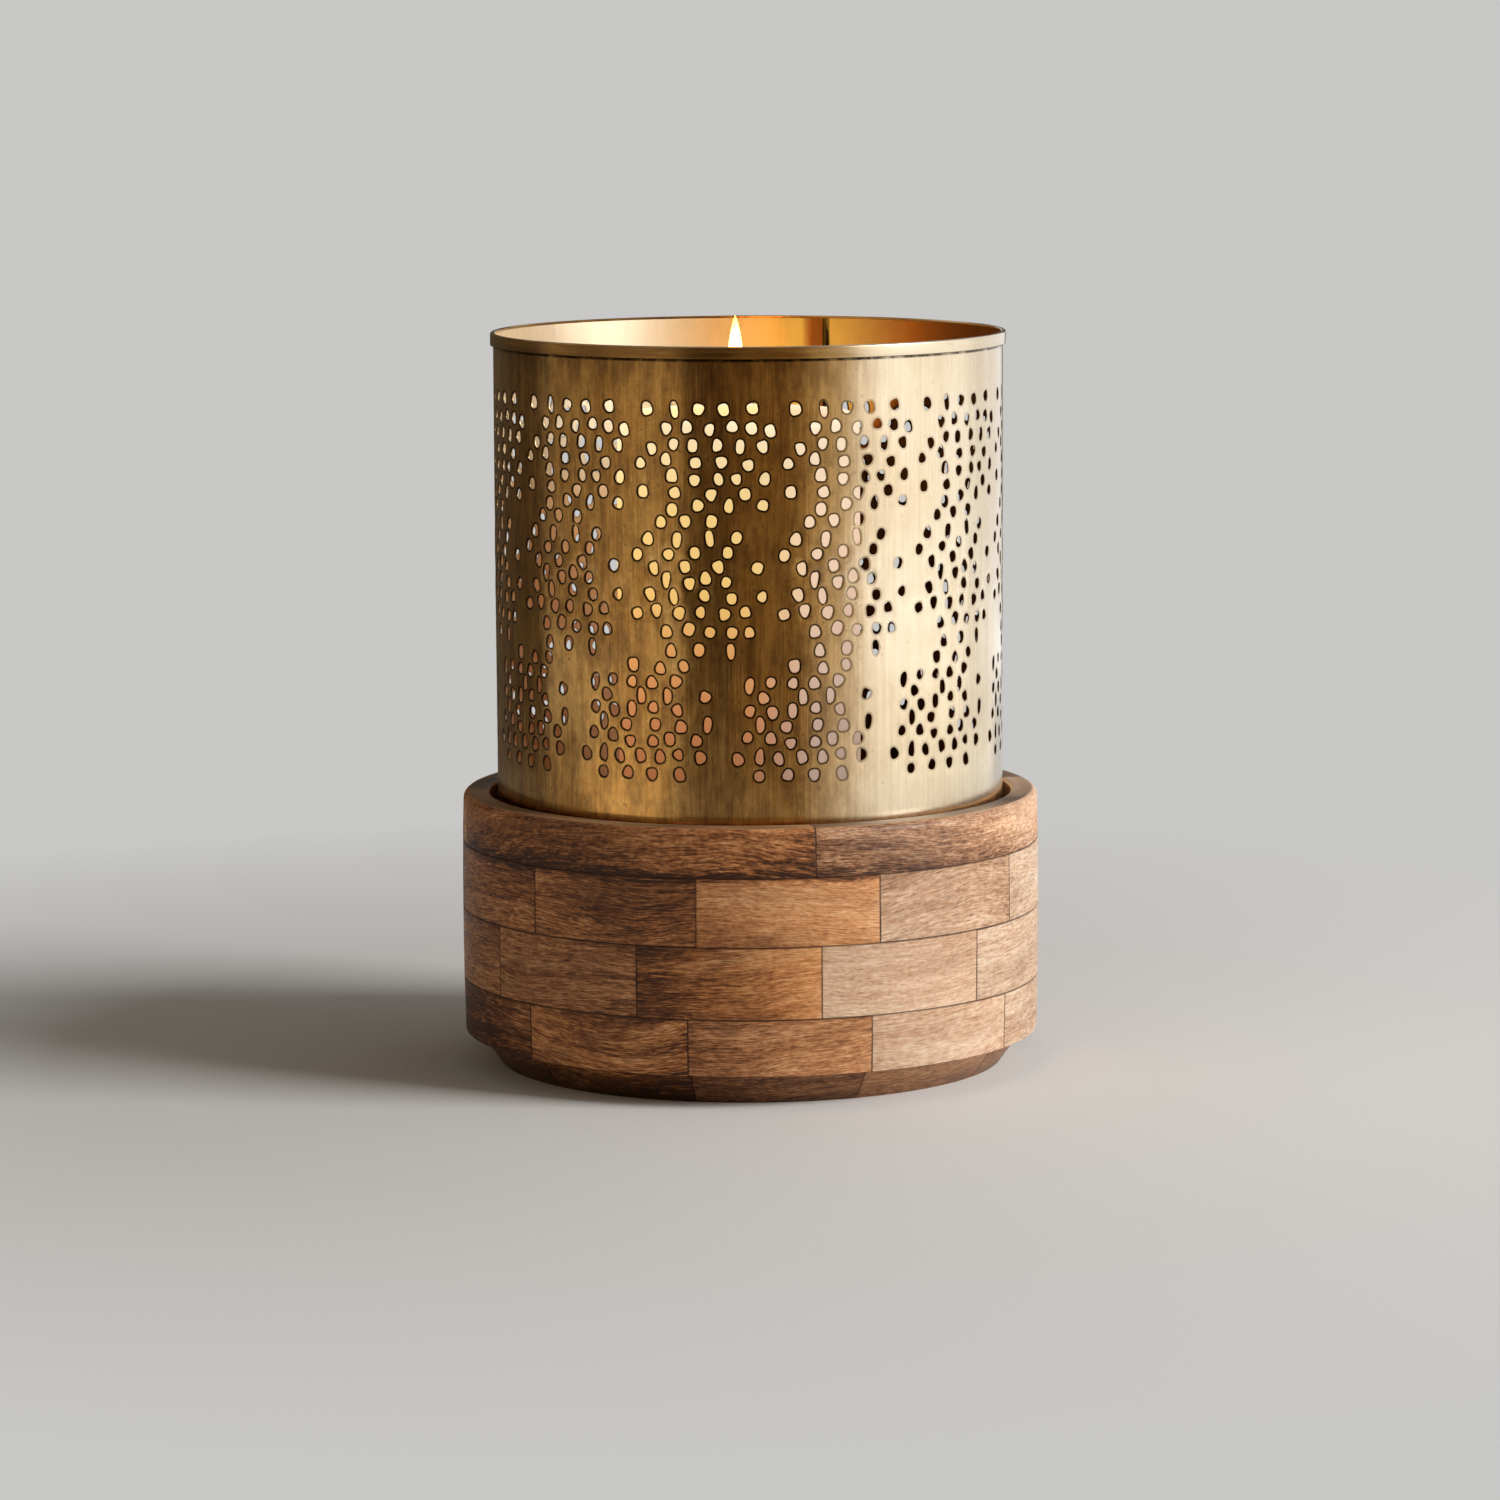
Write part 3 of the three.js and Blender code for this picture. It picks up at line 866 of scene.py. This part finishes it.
def painted_light_and_darkening(radius, height, warmth):
    """How much lighter or darker than its tone a wood piece is at a point of its section: painted
    highlights on the ring's top, shoulder and inner edge, painted shade in its bore and on the foot, and
    darker bands along the joint under the ring.
    """
    bottom, top = RING["bottom"], RING["top"]
    if height > top - ARRIS:
        return TOP_PAINTED_HIGHLIGHT
    # Painted shade in the bore; the rounded inner edge, further down, gets a painted highlight
    if radius == RING["inner"]:
        return -BORE_PAINTED_SHADE_AND_HIGHLIGHT
    if radius > RING["outer"] - RING_OUTER_ROUND and height >= top - RING_OUTER_ROUND:
        return SHOULDER_PAINTED_HIGHLIGHT
    # Painted shade on the foot under the ledge
    if height < FOOT_HEIGHT:
        return -FOOT_PAINTED_SHADE * warmth
    if bottom - BLOCK_TOP_DARKENING_REACH / 2 < height < bottom - JOINT_CLOSE:
        return -BLOCK_TOP_DARKENING * warmth
    if bottom - JOINT_CLOSE <= height < bottom + RING_FOOT_DARKENING_HEIGHT - JOINT_CLOSE:
        return -RING_FOOT_DARKENING
    if radius < RING["inner"] + RING_INNER_ROUND and height > top - RING_INNER_ROUND:
        return BORE_PAINTED_SHADE_AND_HIGHLIGHT
    return 0.0


def wood_piece(node, profile, look, heart, seed):
    """A curved wood piece over its CAD node: the section swept through the node's own angles."""
    left_tone, right_tone, piece_warmth = look
    part = reach(node)
    section = profile(part)
    count = len(section)
    centre = np.mean(section, axis=0)
    mean_radius = (part["inner"] + part["outer"]) / 2
    pick = random.Random(seed)
    lean = math.radians(pick.uniform(-GRAIN_LEAN, GRAIN_LEAN))
    bow = pick.uniform(-GRAIN_BOW, GRAIN_BOW) / (2 * math.radians(part["half"]) * mean_radius)
    shift = Vector([pick.uniform(-GRAIN_SHIFT, GRAIN_SHIFT) for _ in range(3)])
    arris = math.degrees(ARRIS / part["outer"])
    band = math.degrees(EDGE_BAND / part["outer"])
    half = part["half"] + math.degrees(JOINT_CLOSE / part["outer"])
    steps = max(BLOCK_STEPS_LEAST, round(2 * half / BLOCK_STEP))
    turns = [-half, -half + arris, *np.linspace(-half + band, half - band, steps), half - arris, half]
    last = len(turns) - 1
    verts, grain, tones, warmths, edges = [], [], [], [], []
    for i, turn in enumerate(turns):
        near_end = i <= 1 or i >= last - 1
        share = (turn + half) / (2 * half)
        along = math.radians(turn) * mean_radius
        for radius, height in section:
            if i in (0, last):
                shrink = ARRIS / max(NO_LENGTH, math.dist((radius, height), centre))
                radius += (centre[0] - radius) * shrink
                height += (centre[1] - height) * shrink
            verts.append(polar(radius, part["middle"] + turn, height))
            leaning = Vector((
                along * math.cos(lean) - height * math.sin(lean),
                radius,
                along * math.sin(lean) + height * math.cos(lean) + bow * along * along,
            ))
            grain.append(leaning + shift)
            warmth = max(piece_warmth, FOOT_WARMTH) if height < FOOT_HEIGHT else piece_warmth
            warmths.append(warmth)
            tones.append(left_tone + (right_tone - left_tone) * share + painted_light_and_darkening(radius, height, warmth))
            near_edge = min(height - part["bottom"], part["top"] - height) < 2 * ARRIS
            edges.append(1.0 if near_end or near_edge else 0.0)
    faces = []
    for i in range(last):
        for j in range(count):
            a, b = i * count + j, i * count + (j + 1) % count
            faces.append((a, a + count, b + count, b))
    faces.append(tuple(range(count)))
    faces.append(tuple(last * count + j for j in reversed(range(count))))
    obj = piece(node + "_wood", verts, faces, OILED_WOOD, "base", [node])
    store(obj, grain=grain, tone=tones, warmth=warmths, heart=heart, edge=edges)


def floor_board():
    """The board that closes the well, with an eased edge: its grain runs straight along X."""
    low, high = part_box("floor_board")
    radius = high.x
    section = [(0.0, low.z), (radius, low.z)]
    section += [(radius, high.z - ARRIS), (radius - ARRIS, high.z), (0.0, high.z)]
    obj = lathe("floor_board_wood", section, BOARD_STEPS, OILED_WOOD, "base", ["floor_board"])
    points = [v.co for v in obj.data.vertices]
    store(obj, grain=points, tone=BOARD_TONE, warmth=BOARD_WARMTH, heart=BLOCK_HEART, edge=0.0)


OILED_WOOD = wood_material("oiled_wood")
PROFILES = {
    "upper_course_block": course_profile,
    "middle_course_block": course_profile,
    "lower_course_block": lower_profile,
    "top_ring_segment": ring_profile,
}
for course, (label, looks) in enumerate(TONES.items()):
    is_ring = label == "top_ring_segment"
    wood_heart = RING_HEART if is_ring else BLOCK_HEART
    for index, look in enumerate(looks):
        seed = SEEDS_PER_COURSE * course + index
        wood_piece(f"{label}_{index + 1:02d}", PROFILES[label], look, wood_heart, seed)
floor_board()


# Brass shade
def spread_holes(rows, width):
    """Places of the holes in one repeat, in metres: rows with a jitter, pushed apart where they crowd."""
    spots = []
    for height, first, final, count in rows:
        for share in np.linspace(first, final, count):
            u = share * width + rng.uniform(-1, 1) * HOLE_JITTER
            v = height + rng.uniform(-1, 1) * HOLE_JITTER
            spots.append((u, v))
    spots = np.array(spots)
    for _ in range(PUSH_ROUNDS):
        gap = spots[:, None, :] - spots[None, :, :]
        gap[..., 0] -= width * np.round(gap[..., 0] / width)
        far = np.hypot(gap[..., 0], gap[..., 1]) + np.eye(len(spots))
        push = np.clip(HOLE_SPACING - far, 0, None) * (1 - np.eye(len(spots)))
        spots += PUSH_SHARE * (gap / far[..., None] * push[..., None]).sum(axis=1)
    return spots


def hole_shape():
    """One punched hole's outline about its centre: an uneven oval or a rounded block."""
    is_slot = rng.random() < SLOT_SHARE
    wide = rng.uniform(*(SLOT_WIDE if is_slot else HOLE_WIDE))
    tall = rng.uniform(*(SLOT_TALL if is_slot else HOLE_TALL))
    square = rng.uniform(*HOLE_SQUARE)
    tilt = math.radians(rng.uniform(-1, 1) * (SLOT_TILT if is_slot else HOLE_TILT))
    lobe = rng.uniform(0, HOLE_LOBE)
    phase = rng.uniform(0, 2 * math.pi)
    outline = []
    for k in range(HOLE_SIDES):
        t = 2 * math.pi * k / HOLE_SIDES
        c, s = math.cos(t), math.sin(t)
        size = (abs(c) ** square + abs(s) ** square) ** (-1 / square)
        size *= 1 + lobe * math.cos(HOLE_LOBES * t + phase)
        u, v = wide * size * c, tall * size * s
        outline.append((u * math.cos(tilt) - v * math.sin(tilt), u * math.sin(tilt) + v * math.cos(tilt)))
    return np.array(outline)


def sheet_holes():
    """Every hole's outline on the flat sheet, clear of the lap: arrays of (arc length, height) points."""
    holes = []
    for rows, repeats, start in MOTIFS:
        width = ROUND / repeats
        shapes = [(spot, hole_shape()) for spot in spread_holes(rows, width)]
        for k in range(repeats):
            begin = math.radians(start - SEAM_ANGLE) * SHADE_RADIUS + k * width
            for (u, v), shape in shapes:
                middle = (begin + u) % ROUND
                if LAP_WIDTH + JOGGLE_LENGTH + HOLE_MARGIN < middle < ROUND - HOLE_MARGIN:
                    holes.append(shape + (middle, v))
    return holes


def grown(outline, amount):
    """An outline pushed outwards from its middle."""
    middle = outline.mean(axis=0)
    away = outline - middle
    return middle + away * (1 + amount / np.linalg.norm(away, axis=1, keepdims=True))


def pucker(v):
    """How puckered the sheet is at a height: 1 in the middle of the band, 0 outside it."""
    return max(0.0, 1 - abs(v - PUCKER_HEIGHT) / PUCKER_REACH)


def sheet_point(u, v, depth):
    """Where a point of the flat sheet lies when rolled up, with a stepped lap and a slight unevenness."""
    turn = math.degrees(u / SHADE_RADIUS)
    drop = LAP_DROP * (1 - smooth(u, LAP_WIDTH, LAP_WIDTH + JOGGLE_LENGTH))
    uneven = ripple(turn, v, *SHEET_RIPPLE) + pucker(v) * ripple(turn, v, *PUCKER_RIPPLE)
    fade = min(1.0, (v - SHADE_BOTTOM) / STEADY_FOOT, (RIM_BOTTOM - v) / STEADY_TOP)
    radius = SHADE_RADIUS - depth - drop - SHEET_INSET + uneven * max(0.0, fade)
    return polar(radius, SEAM_ANGLE + turn, v)


def grid_points(holes):
    """Points of a grid over the flat sheet and along its border, clear of the holes."""
    lengths = np.linspace(0, SHEET_LENGTH, round(SHEET_LENGTH / SKIN_GRID) + 1)
    beside_seam = [ROUND - SEAM_DARK_WIDTH * share for share in (SEAM_DARK_SPREAD, 1.0, 0.5, 0.0)]
    lengths = sorted([*lengths, *beside_seam])
    below = RIM_BOTTOM - CREASE_REACH
    heights = np.linspace(SHADE_BOTTOM, below, round((below - SHADE_BOTTOM) / SKIN_GRID) + 1)
    under_rim = [RIM_BOTTOM - CREASE_REACH / 2, RIM_BOTTOM - CREASE_REACH / 6, RIM_BOTTOM]
    heights = [*heights, *under_rim, SHADE_TOP]
    middles = np.array([h.mean(axis=0) for h in holes])
    points = []
    for u in lengths:
        near = middles[np.abs(middles[:, 0] - u) < GRID_SEARCH]
        for v in heights:
            on_border = u in (lengths[0], lengths[-1]) or v in (heights[0], heights[-1])
            if on_border or not len(near) or np.hypot(*(near - (u, v)).T).min() > GRID_CLEAR:
                points.append((u, v))
    return points


def open_edges(triangles):
    """The edges that only one triangle has, in that triangle's direction."""
    edges = [edge for a, b, c in triangles for edge in ((a, b), (b, c), (c, a))]
    known = set(edges)
    return [(a, b) for a, b in edges if (b, a) not in known]


def shade_sheet():
    """The perforated sheet: triangulated flat round its holes, then rolled up with two skins."""
    holes = sheet_holes()
    flat, dents, lips, loops, edges = [], [], [], [], []

    def add_points(points, dent, lip):
        first = len(flat)
        flat.extend(map(tuple, points))
        dents.extend([dent] * len(points))
        lips.extend([lip] * len(points))
        return list(range(first, len(flat)))

    for outline in holes:
        dent = DIMPLE_DEPTH + PUCKER_DIMPLE * pucker(outline[:, 1].mean())
        loops.append(add_points(outline, dent, 1.0))
        around = add_points(grown(outline, DIMPLE_WIDTH), 0.0, 0.0)
        edges.extend(zip(around, around[1:] + around[:1]))
    add_points(grid_points(holes), 0.0, 0.0)
    corners = [Vector(p) for p in flat]
    places, _, triangles, sources, _, holed = delaunay_2d_cdt(corners, edges, loops, 0, MERGE)
    skin = [t for t, in_hole in zip(triangles, holed) if not in_hole]
    place_dents = [dents[s[0]] if s else 0.0 for s in sources]
    place_lips = [lips[s[0]] if s else 0.0 for s in sources]
    count = len(places)
    outer = [sheet_point(p.x, p.y, d) for p, d in zip(places, place_dents)]
    inner = [sheet_point(p.x, p.y, d + SHEET_THICKNESS) for p, d in zip(places, place_dents)]
    faces = [tuple(t) for t in skin]
    faces += [tuple(count + v for v in reversed(t)) for t in skin]
    faces += [(b, a, count + a, count + b) for a, b in open_edges(skin)]
    brass = brass_material("antique_brass", SHEET_ROUGHNESS)
    verts = outer + inner
    obj = piece("shade_sheet_brass", verts, faces, brass, "shade", ["shade_sheet"], sharp=50)
    # Painted shade, with some tarnish, in a band just under the rim
    under_rim = [max(0.0, 1 - abs(RIM_BOTTOM - p.y) / CREASE_REACH) for p in places]
    outside_patina = [patina(SEAM_ANGLE + math.degrees(p.x / SHADE_RADIUS)) for p in places]
    store(
        obj,
        sheet=[(p.x, p.y, 0.0) for p in places] * 2,
        edge=place_lips * 2,
        crease=under_rim + [seam_tarnish_and_shade(p.x) for p in places],
        inside=[0.0] * count + [1.0] * count,
        soot=[0.0] * count + [soot(p.x, p.y) for p in places],
        patina=outside_patina + [inside_patina(p.x) for p in places],
    )


def seam_tarnish_and_shade(u):
    """How dark the inside is along the corner beside the lap's inner edge: partly tarnish, partly painted
    shade of the lap's step.
    """
    return smooth(u, ROUND - SEAM_DARK_SPREAD * SEAM_DARK_WIDTH, ROUND - SEAM_DARK_WIDTH / 2)


def patina(degrees):
    """How much golden-brown patina the shade has at an angle: all round but for its paler polished side,
    which faces the right-hand lamps and is partly a painted highlight.
    """
    return 1 - smooth(math.cos(math.radians(degrees - POLISHED_HIGHLIT_ANGLE)), *POLISHED_HIGHLIT_FADE)


def from_lit_side(u):
    """0 at the middle of the inside's lit side, where painted light falls and soot and painted shade keep
    clear, 1 opposite it.
    """
    turn = math.radians(SEAM_ANGLE - LIT_SIDE_ANGLE) + u / SHADE_RADIUS
    return 0.5 - 0.5 * math.cos(turn)


def inside_patina(u):
    """How far the inside takes the painted gold of the flame's glow over the painted cream of the key
    lamp: away from its lit side, and beside the seam.
    """
    return max(seam_tarnish_and_shade(u), smooth(from_lit_side(u), *INSIDE_GLOW_FADE))


def soot(u, v):
    """How brown, then sooty, the inside is: low down, higher away from its lit side, and on the lap; the
    darkening away from the lit side is painted shade.
    """
    side = smooth(from_lit_side(u), *SIDE_PAINTED_SHADE_FADE)
    far = smooth(from_lit_side(u), *FAR_PAINTED_SHADE_FADE)
    start = LIT_SIDE_CLEAR_DEPTH * (1 - side) + SOOT_DEPTH * side
    deep = smooth(SHADE_TOP - v, start, start + SOOT_DEPTH_FADE)
    weight = SOOT_DEEP + SOOT_DEEP_GOLD * inside_patina(u)
    on_lap = LAP_SOOT * (1 - smooth(u, LAP_WIDTH / 2, LAP_WIDTH))
    return max(min(1.0, SIDE_PAINTED_SHADE * side + FAR_PAINTED_SHADE * far + deep * weight), on_lap)


def shade_rim():
    """The hoop round the top edge, with a rounded shoulder and a narrow flange over the sheet's edge."""
    inside, outside, lip = SHADE_RADIUS + RIM_GAP, RIM["outer"], RIM["inner"]
    section = [
        (inside, RIM_BOTTOM),
        (outside, RIM_BOTTOM),
        (outside, RIM_BOTTOM + RIM_CREASE),
        *arc(outside - RIM_ROUND, RIM_TOP - RIM_ROUND, RIM_ROUND, 0, 90),
        (lip + RIM_EASE, RIM_TOP),
        (lip, RIM_TOP - RIM_EASE),
        (lip, SHADE_TOP + RIM_GAP),
        (inside, SHADE_TOP + RIM_GAP),
        (inside, RIM_BOTTOM),
    ]

    def wobble(turn, height):
        return ripple(turn, height, *RIM_RIPPLE)

    brass = brass_material("rim_brass", RIM_ROUGHNESS)
    obj = lathe(
        "shade_rim_brass", section, RIM_STEPS, brass, "shade", ["shade_rim"], wobble=wobble,
    )
    points = [v.co for v in obj.data.vertices]
    turns = [math.atan2(p.x, -p.y) for p in points]
    # The rim is brushed round the shade, so its streaks run along the way round
    ways = [RIM_TOP + (t + math.pi) * SHADE_RADIUS * RIM_BRUSH for t in turns]
    store(
        obj,
        sheet=[(p.z, way, 0.0) for p, way in zip(points, ways)],
        edge=0.0,
        # Painted shade, with some tarnish, on the rim's lower edge
        crease=[max(0.0, 1 - (p.z - RIM_BOTTOM) / RIM_CREASE) for p in points],
        inside=0.0,
        soot=0.0,
        patina=[patina(math.degrees(t)) for t in turns],
    )


shade_sheet()
shade_rim()


# Candle
def candle_wax():
    """The pillar: eased foot, softened shoulder, and a melted pool that dips towards the wick."""
    top, foot, radius = WAX_HIGH.z, WAX_LOW.z, CANDLE_RADIUS
    rows = np.linspace(foot + WAX_ROWS_INSET, top - WAX_ROWS_INSET, WAX_ROWS)
    section = [(0.0, foot)]
    section += [(radius - inwards, foot + up) for inwards, up in WAX_FOOT]
    section += [(radius, z) for z in rows]
    section += arc(radius - WAX_SHOULDER, top - WAX_SHOULDER, WAX_SHOULDER, 0, 90)
    section += [(pool_radius, top - depth) for pool_radius, depth in WAX_POOL]

    def wobble(turn, height):
        return ripple(turn, height, *WAX_RIPPLE) - WAX_INSET

    wax = wax_material("ivory_wax")
    centre = (CANDLE_X, CANDLE_Y)
    obj = lathe(
        "candle_wax_pillar", section, WAX_STEPS, wax, "candle", ["candle_wax"],
        centre=centre, wobble=wobble, sharp=60,
    )
    points = [v.co for v in obj.data.vertices]
    glow = []
    for point in points:
        level = min(1.0, max(0.0, (point.z - GLOW_BOTTOM) / (top - GLOW_BOTTOM)))
        from_wick = math.hypot(point.x - CANDLE_X, point.y - CANDLE_Y)
        in_pool = point.z > top - POOL_DEPTH and from_wick < POOL_RADIUS
        glow.append(POOL_GLOW if in_pool else level)
    # The paler side faces the right-hand lamps: painted lamp light
    store(obj, glow=glow, side=[smooth((p.x - CANDLE_X) / radius, *PALE_SIDE_FADE) for p in points])


def candle_wick():
    """The burnt wick: a thin braided stem that curls over at its tip."""
    low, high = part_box("candle_wick")
    start = WAX_HIGH.z - WICK_SUNK
    stem = (high.x - low.x) / 2 * WICK_SLIM
    verts, faces, glow = [], [], []
    for i in range(WICK_STEPS + 1):
        t = i / WICK_STEPS
        middle = Vector((CANDLE_X, CANDLE_Y, start + (high.z - start) * t)) + WICK_CURL * t * t
        size = stem * (1 - WICK_TAPER * t) * (1 + WICK_BULGE * math.sin(WICK_BULGES * t))
        for k in range(WICK_SIDES):
            turn = 360 * k / WICK_SIDES + WICK_TWIST * t
            verts.append(middle + polar(size * (1 + WICK_BRAID * (k % 2)), turn, 0.0))
            glow.append(t)
    for i in range(WICK_STEPS):
        for k in range(WICK_SIDES):
            a, b = i * WICK_SIDES + k, i * WICK_SIDES + (k + 1) % WICK_SIDES
            faces.append((a, b, b + WICK_SIDES, a + WICK_SIDES))
    faces.append(tuple(reversed(range(WICK_SIDES))))
    faces.append(tuple(WICK_STEPS * WICK_SIDES + k for k in range(WICK_SIDES)))
    wick = wick_material("charred_wick")
    obj = piece("candle_wick_stem", verts, faces, wick, "candle", ["candle_wick"])
    store(obj, glow=glow)


def candle_flame():
    """A still, pointed flame over the wick."""
    height = FLAME_TIP - FLAME_BOTTOM

    def width(t):
        return t ** FLAME_FOOT_POWER * (1 - t) ** FLAME_TIP_POWER

    section = [(0.0, FLAME_BOTTOM)]
    for i in range(1, FLAME_ROWS):
        t = i / FLAME_ROWS
        section.append((FLAME_RADIUS * width(t) / width(FLAME_WIDEST), FLAME_BOTTOM + height * t))
    section.append((0.0, FLAME_TIP))
    centre = (CANDLE_X + FLAME_LEAN, CANDLE_Y)
    flame = flame_material("flame")
    obj = lathe("candle_flame", section, FLAME_STEPS, flame, "candle", [], centre, sharp=80)
    store(obj, glow=[(v.co.z - FLAME_BOTTOM) / height for v in obj.data.vertices])


candle_wax()
candle_wick()
candle_flame()


# Stage, lights and camera
def floor():
    """A round sheet of pale paper under the object."""
    edge = [polar(FLOOR_RADIUS, 360 * k / FLOOR_SIDES, 0.0) for k in range(FLOOR_SIDES)]
    obj = new_mesh("floor", edge, [tuple(range(FLOOR_SIDES))], stage_material("pale_paper"))


def world():
    """A dim room that lights the object from all sides, seen as a plain pale background."""
    scene_world = bpy.data.worlds.new("studio")
    bpy.context.scene.world = scene_world
    scene_world.use_nodes = True
    tree = scene_world.node_tree
    room = tree.nodes["Background"]
    room.inputs["Color"].default_value = ROOM
    background = tree.nodes.new("ShaderNodeBackground")
    background.inputs["Color"].default_value = PALE
    blend = tree.nodes.new("ShaderNodeMixShader")
    tree.links.new(seen(tree), blend.inputs[0])
    tree.links.new(room.outputs[0], blend.inputs[1])
    tree.links.new(background.outputs[0], blend.inputs[2])
    tree.links.new(blend.outputs[0], tree.nodes["World Output"].inputs["Surface"])


def lamp(name, place, aim, size, radiance, tint):
    """A rectangular area lamp of a given brightness at a place, facing a point."""
    data = bpy.data.lights.new(name, "AREA")
    data.shape = "RECTANGLE"
    data.size, data.size_y = size
    data.energy = radiance * POWER_OF_RADIANCE * size[0] * size[1]
    data.color = tint
    obj = new_object(name, data)
    obj.location = place
    obj.rotation_euler = (Vector(aim) - Vector(place)).to_track_quat("-Z", "Y").to_euler()
    obj.visible_camera = False


def panel(name, start, end, distance, radiance, tint, height=PANEL_HEIGHT):
    """An upright softbox that fills the view from the object between two angles."""
    width = 2 * distance * math.tan(math.radians(end - start) / 2)
    place = polar(distance, (start + end) / 2, height / 2 + PANEL_LIFT)
    lamp(name, place, (0.0, 0.0, place.z), (width, height), radiance, tint)


def card(name, start, end, distance, height, light):
    """A curved dark card that stands out of view between two angles, and only shows in the brass."""
    steps = round((end - start) / CARD_STEP)
    turns = np.linspace(start, end, steps + 1)
    verts = [polar(distance, turn, z) for turn in turns for z in (0.0, height)]
    faces = [(2 * i, 2 * i + 2, 2 * i + 3, 2 * i + 1) for i in range(steps)]
    obj = new_mesh(name, verts, faces, card_material(name + "_felt", light))
    obj.visible_camera = False
    obj.visible_shadow = False
    obj.visible_diffuse = False


def camera():
    """The photograph's camera."""
    data = bpy.data.cameras.new("camera")
    data.lens = CAMERA_LENS
    data.sensor_width = SENSOR_WIDTH
    obj = new_object("camera", data)
    tilt = Matrix.Rotation(math.radians(90 - CAMERA_PITCH), 4, "X")
    roll = Matrix.Rotation(math.radians(CAMERA_ROLL), 4, "Z")
    obj.matrix_world = Matrix.Translation(CAMERA_PLACE) @ tilt @ roll
    bpy.context.scene.camera = obj


floor()
world()
lamp("key", polar(KEY_DISTANCE, KEY_ANGLE, KEY_HEIGHT), KEY_AIM, KEY_SIZE, KEY_RADIANCE, WHITE)
for values in PANELS:
    panel(*values)
for values in CARDS:
    card(*values)
camera()
bpy.context.scene.view_settings.view_transform = "Standard"
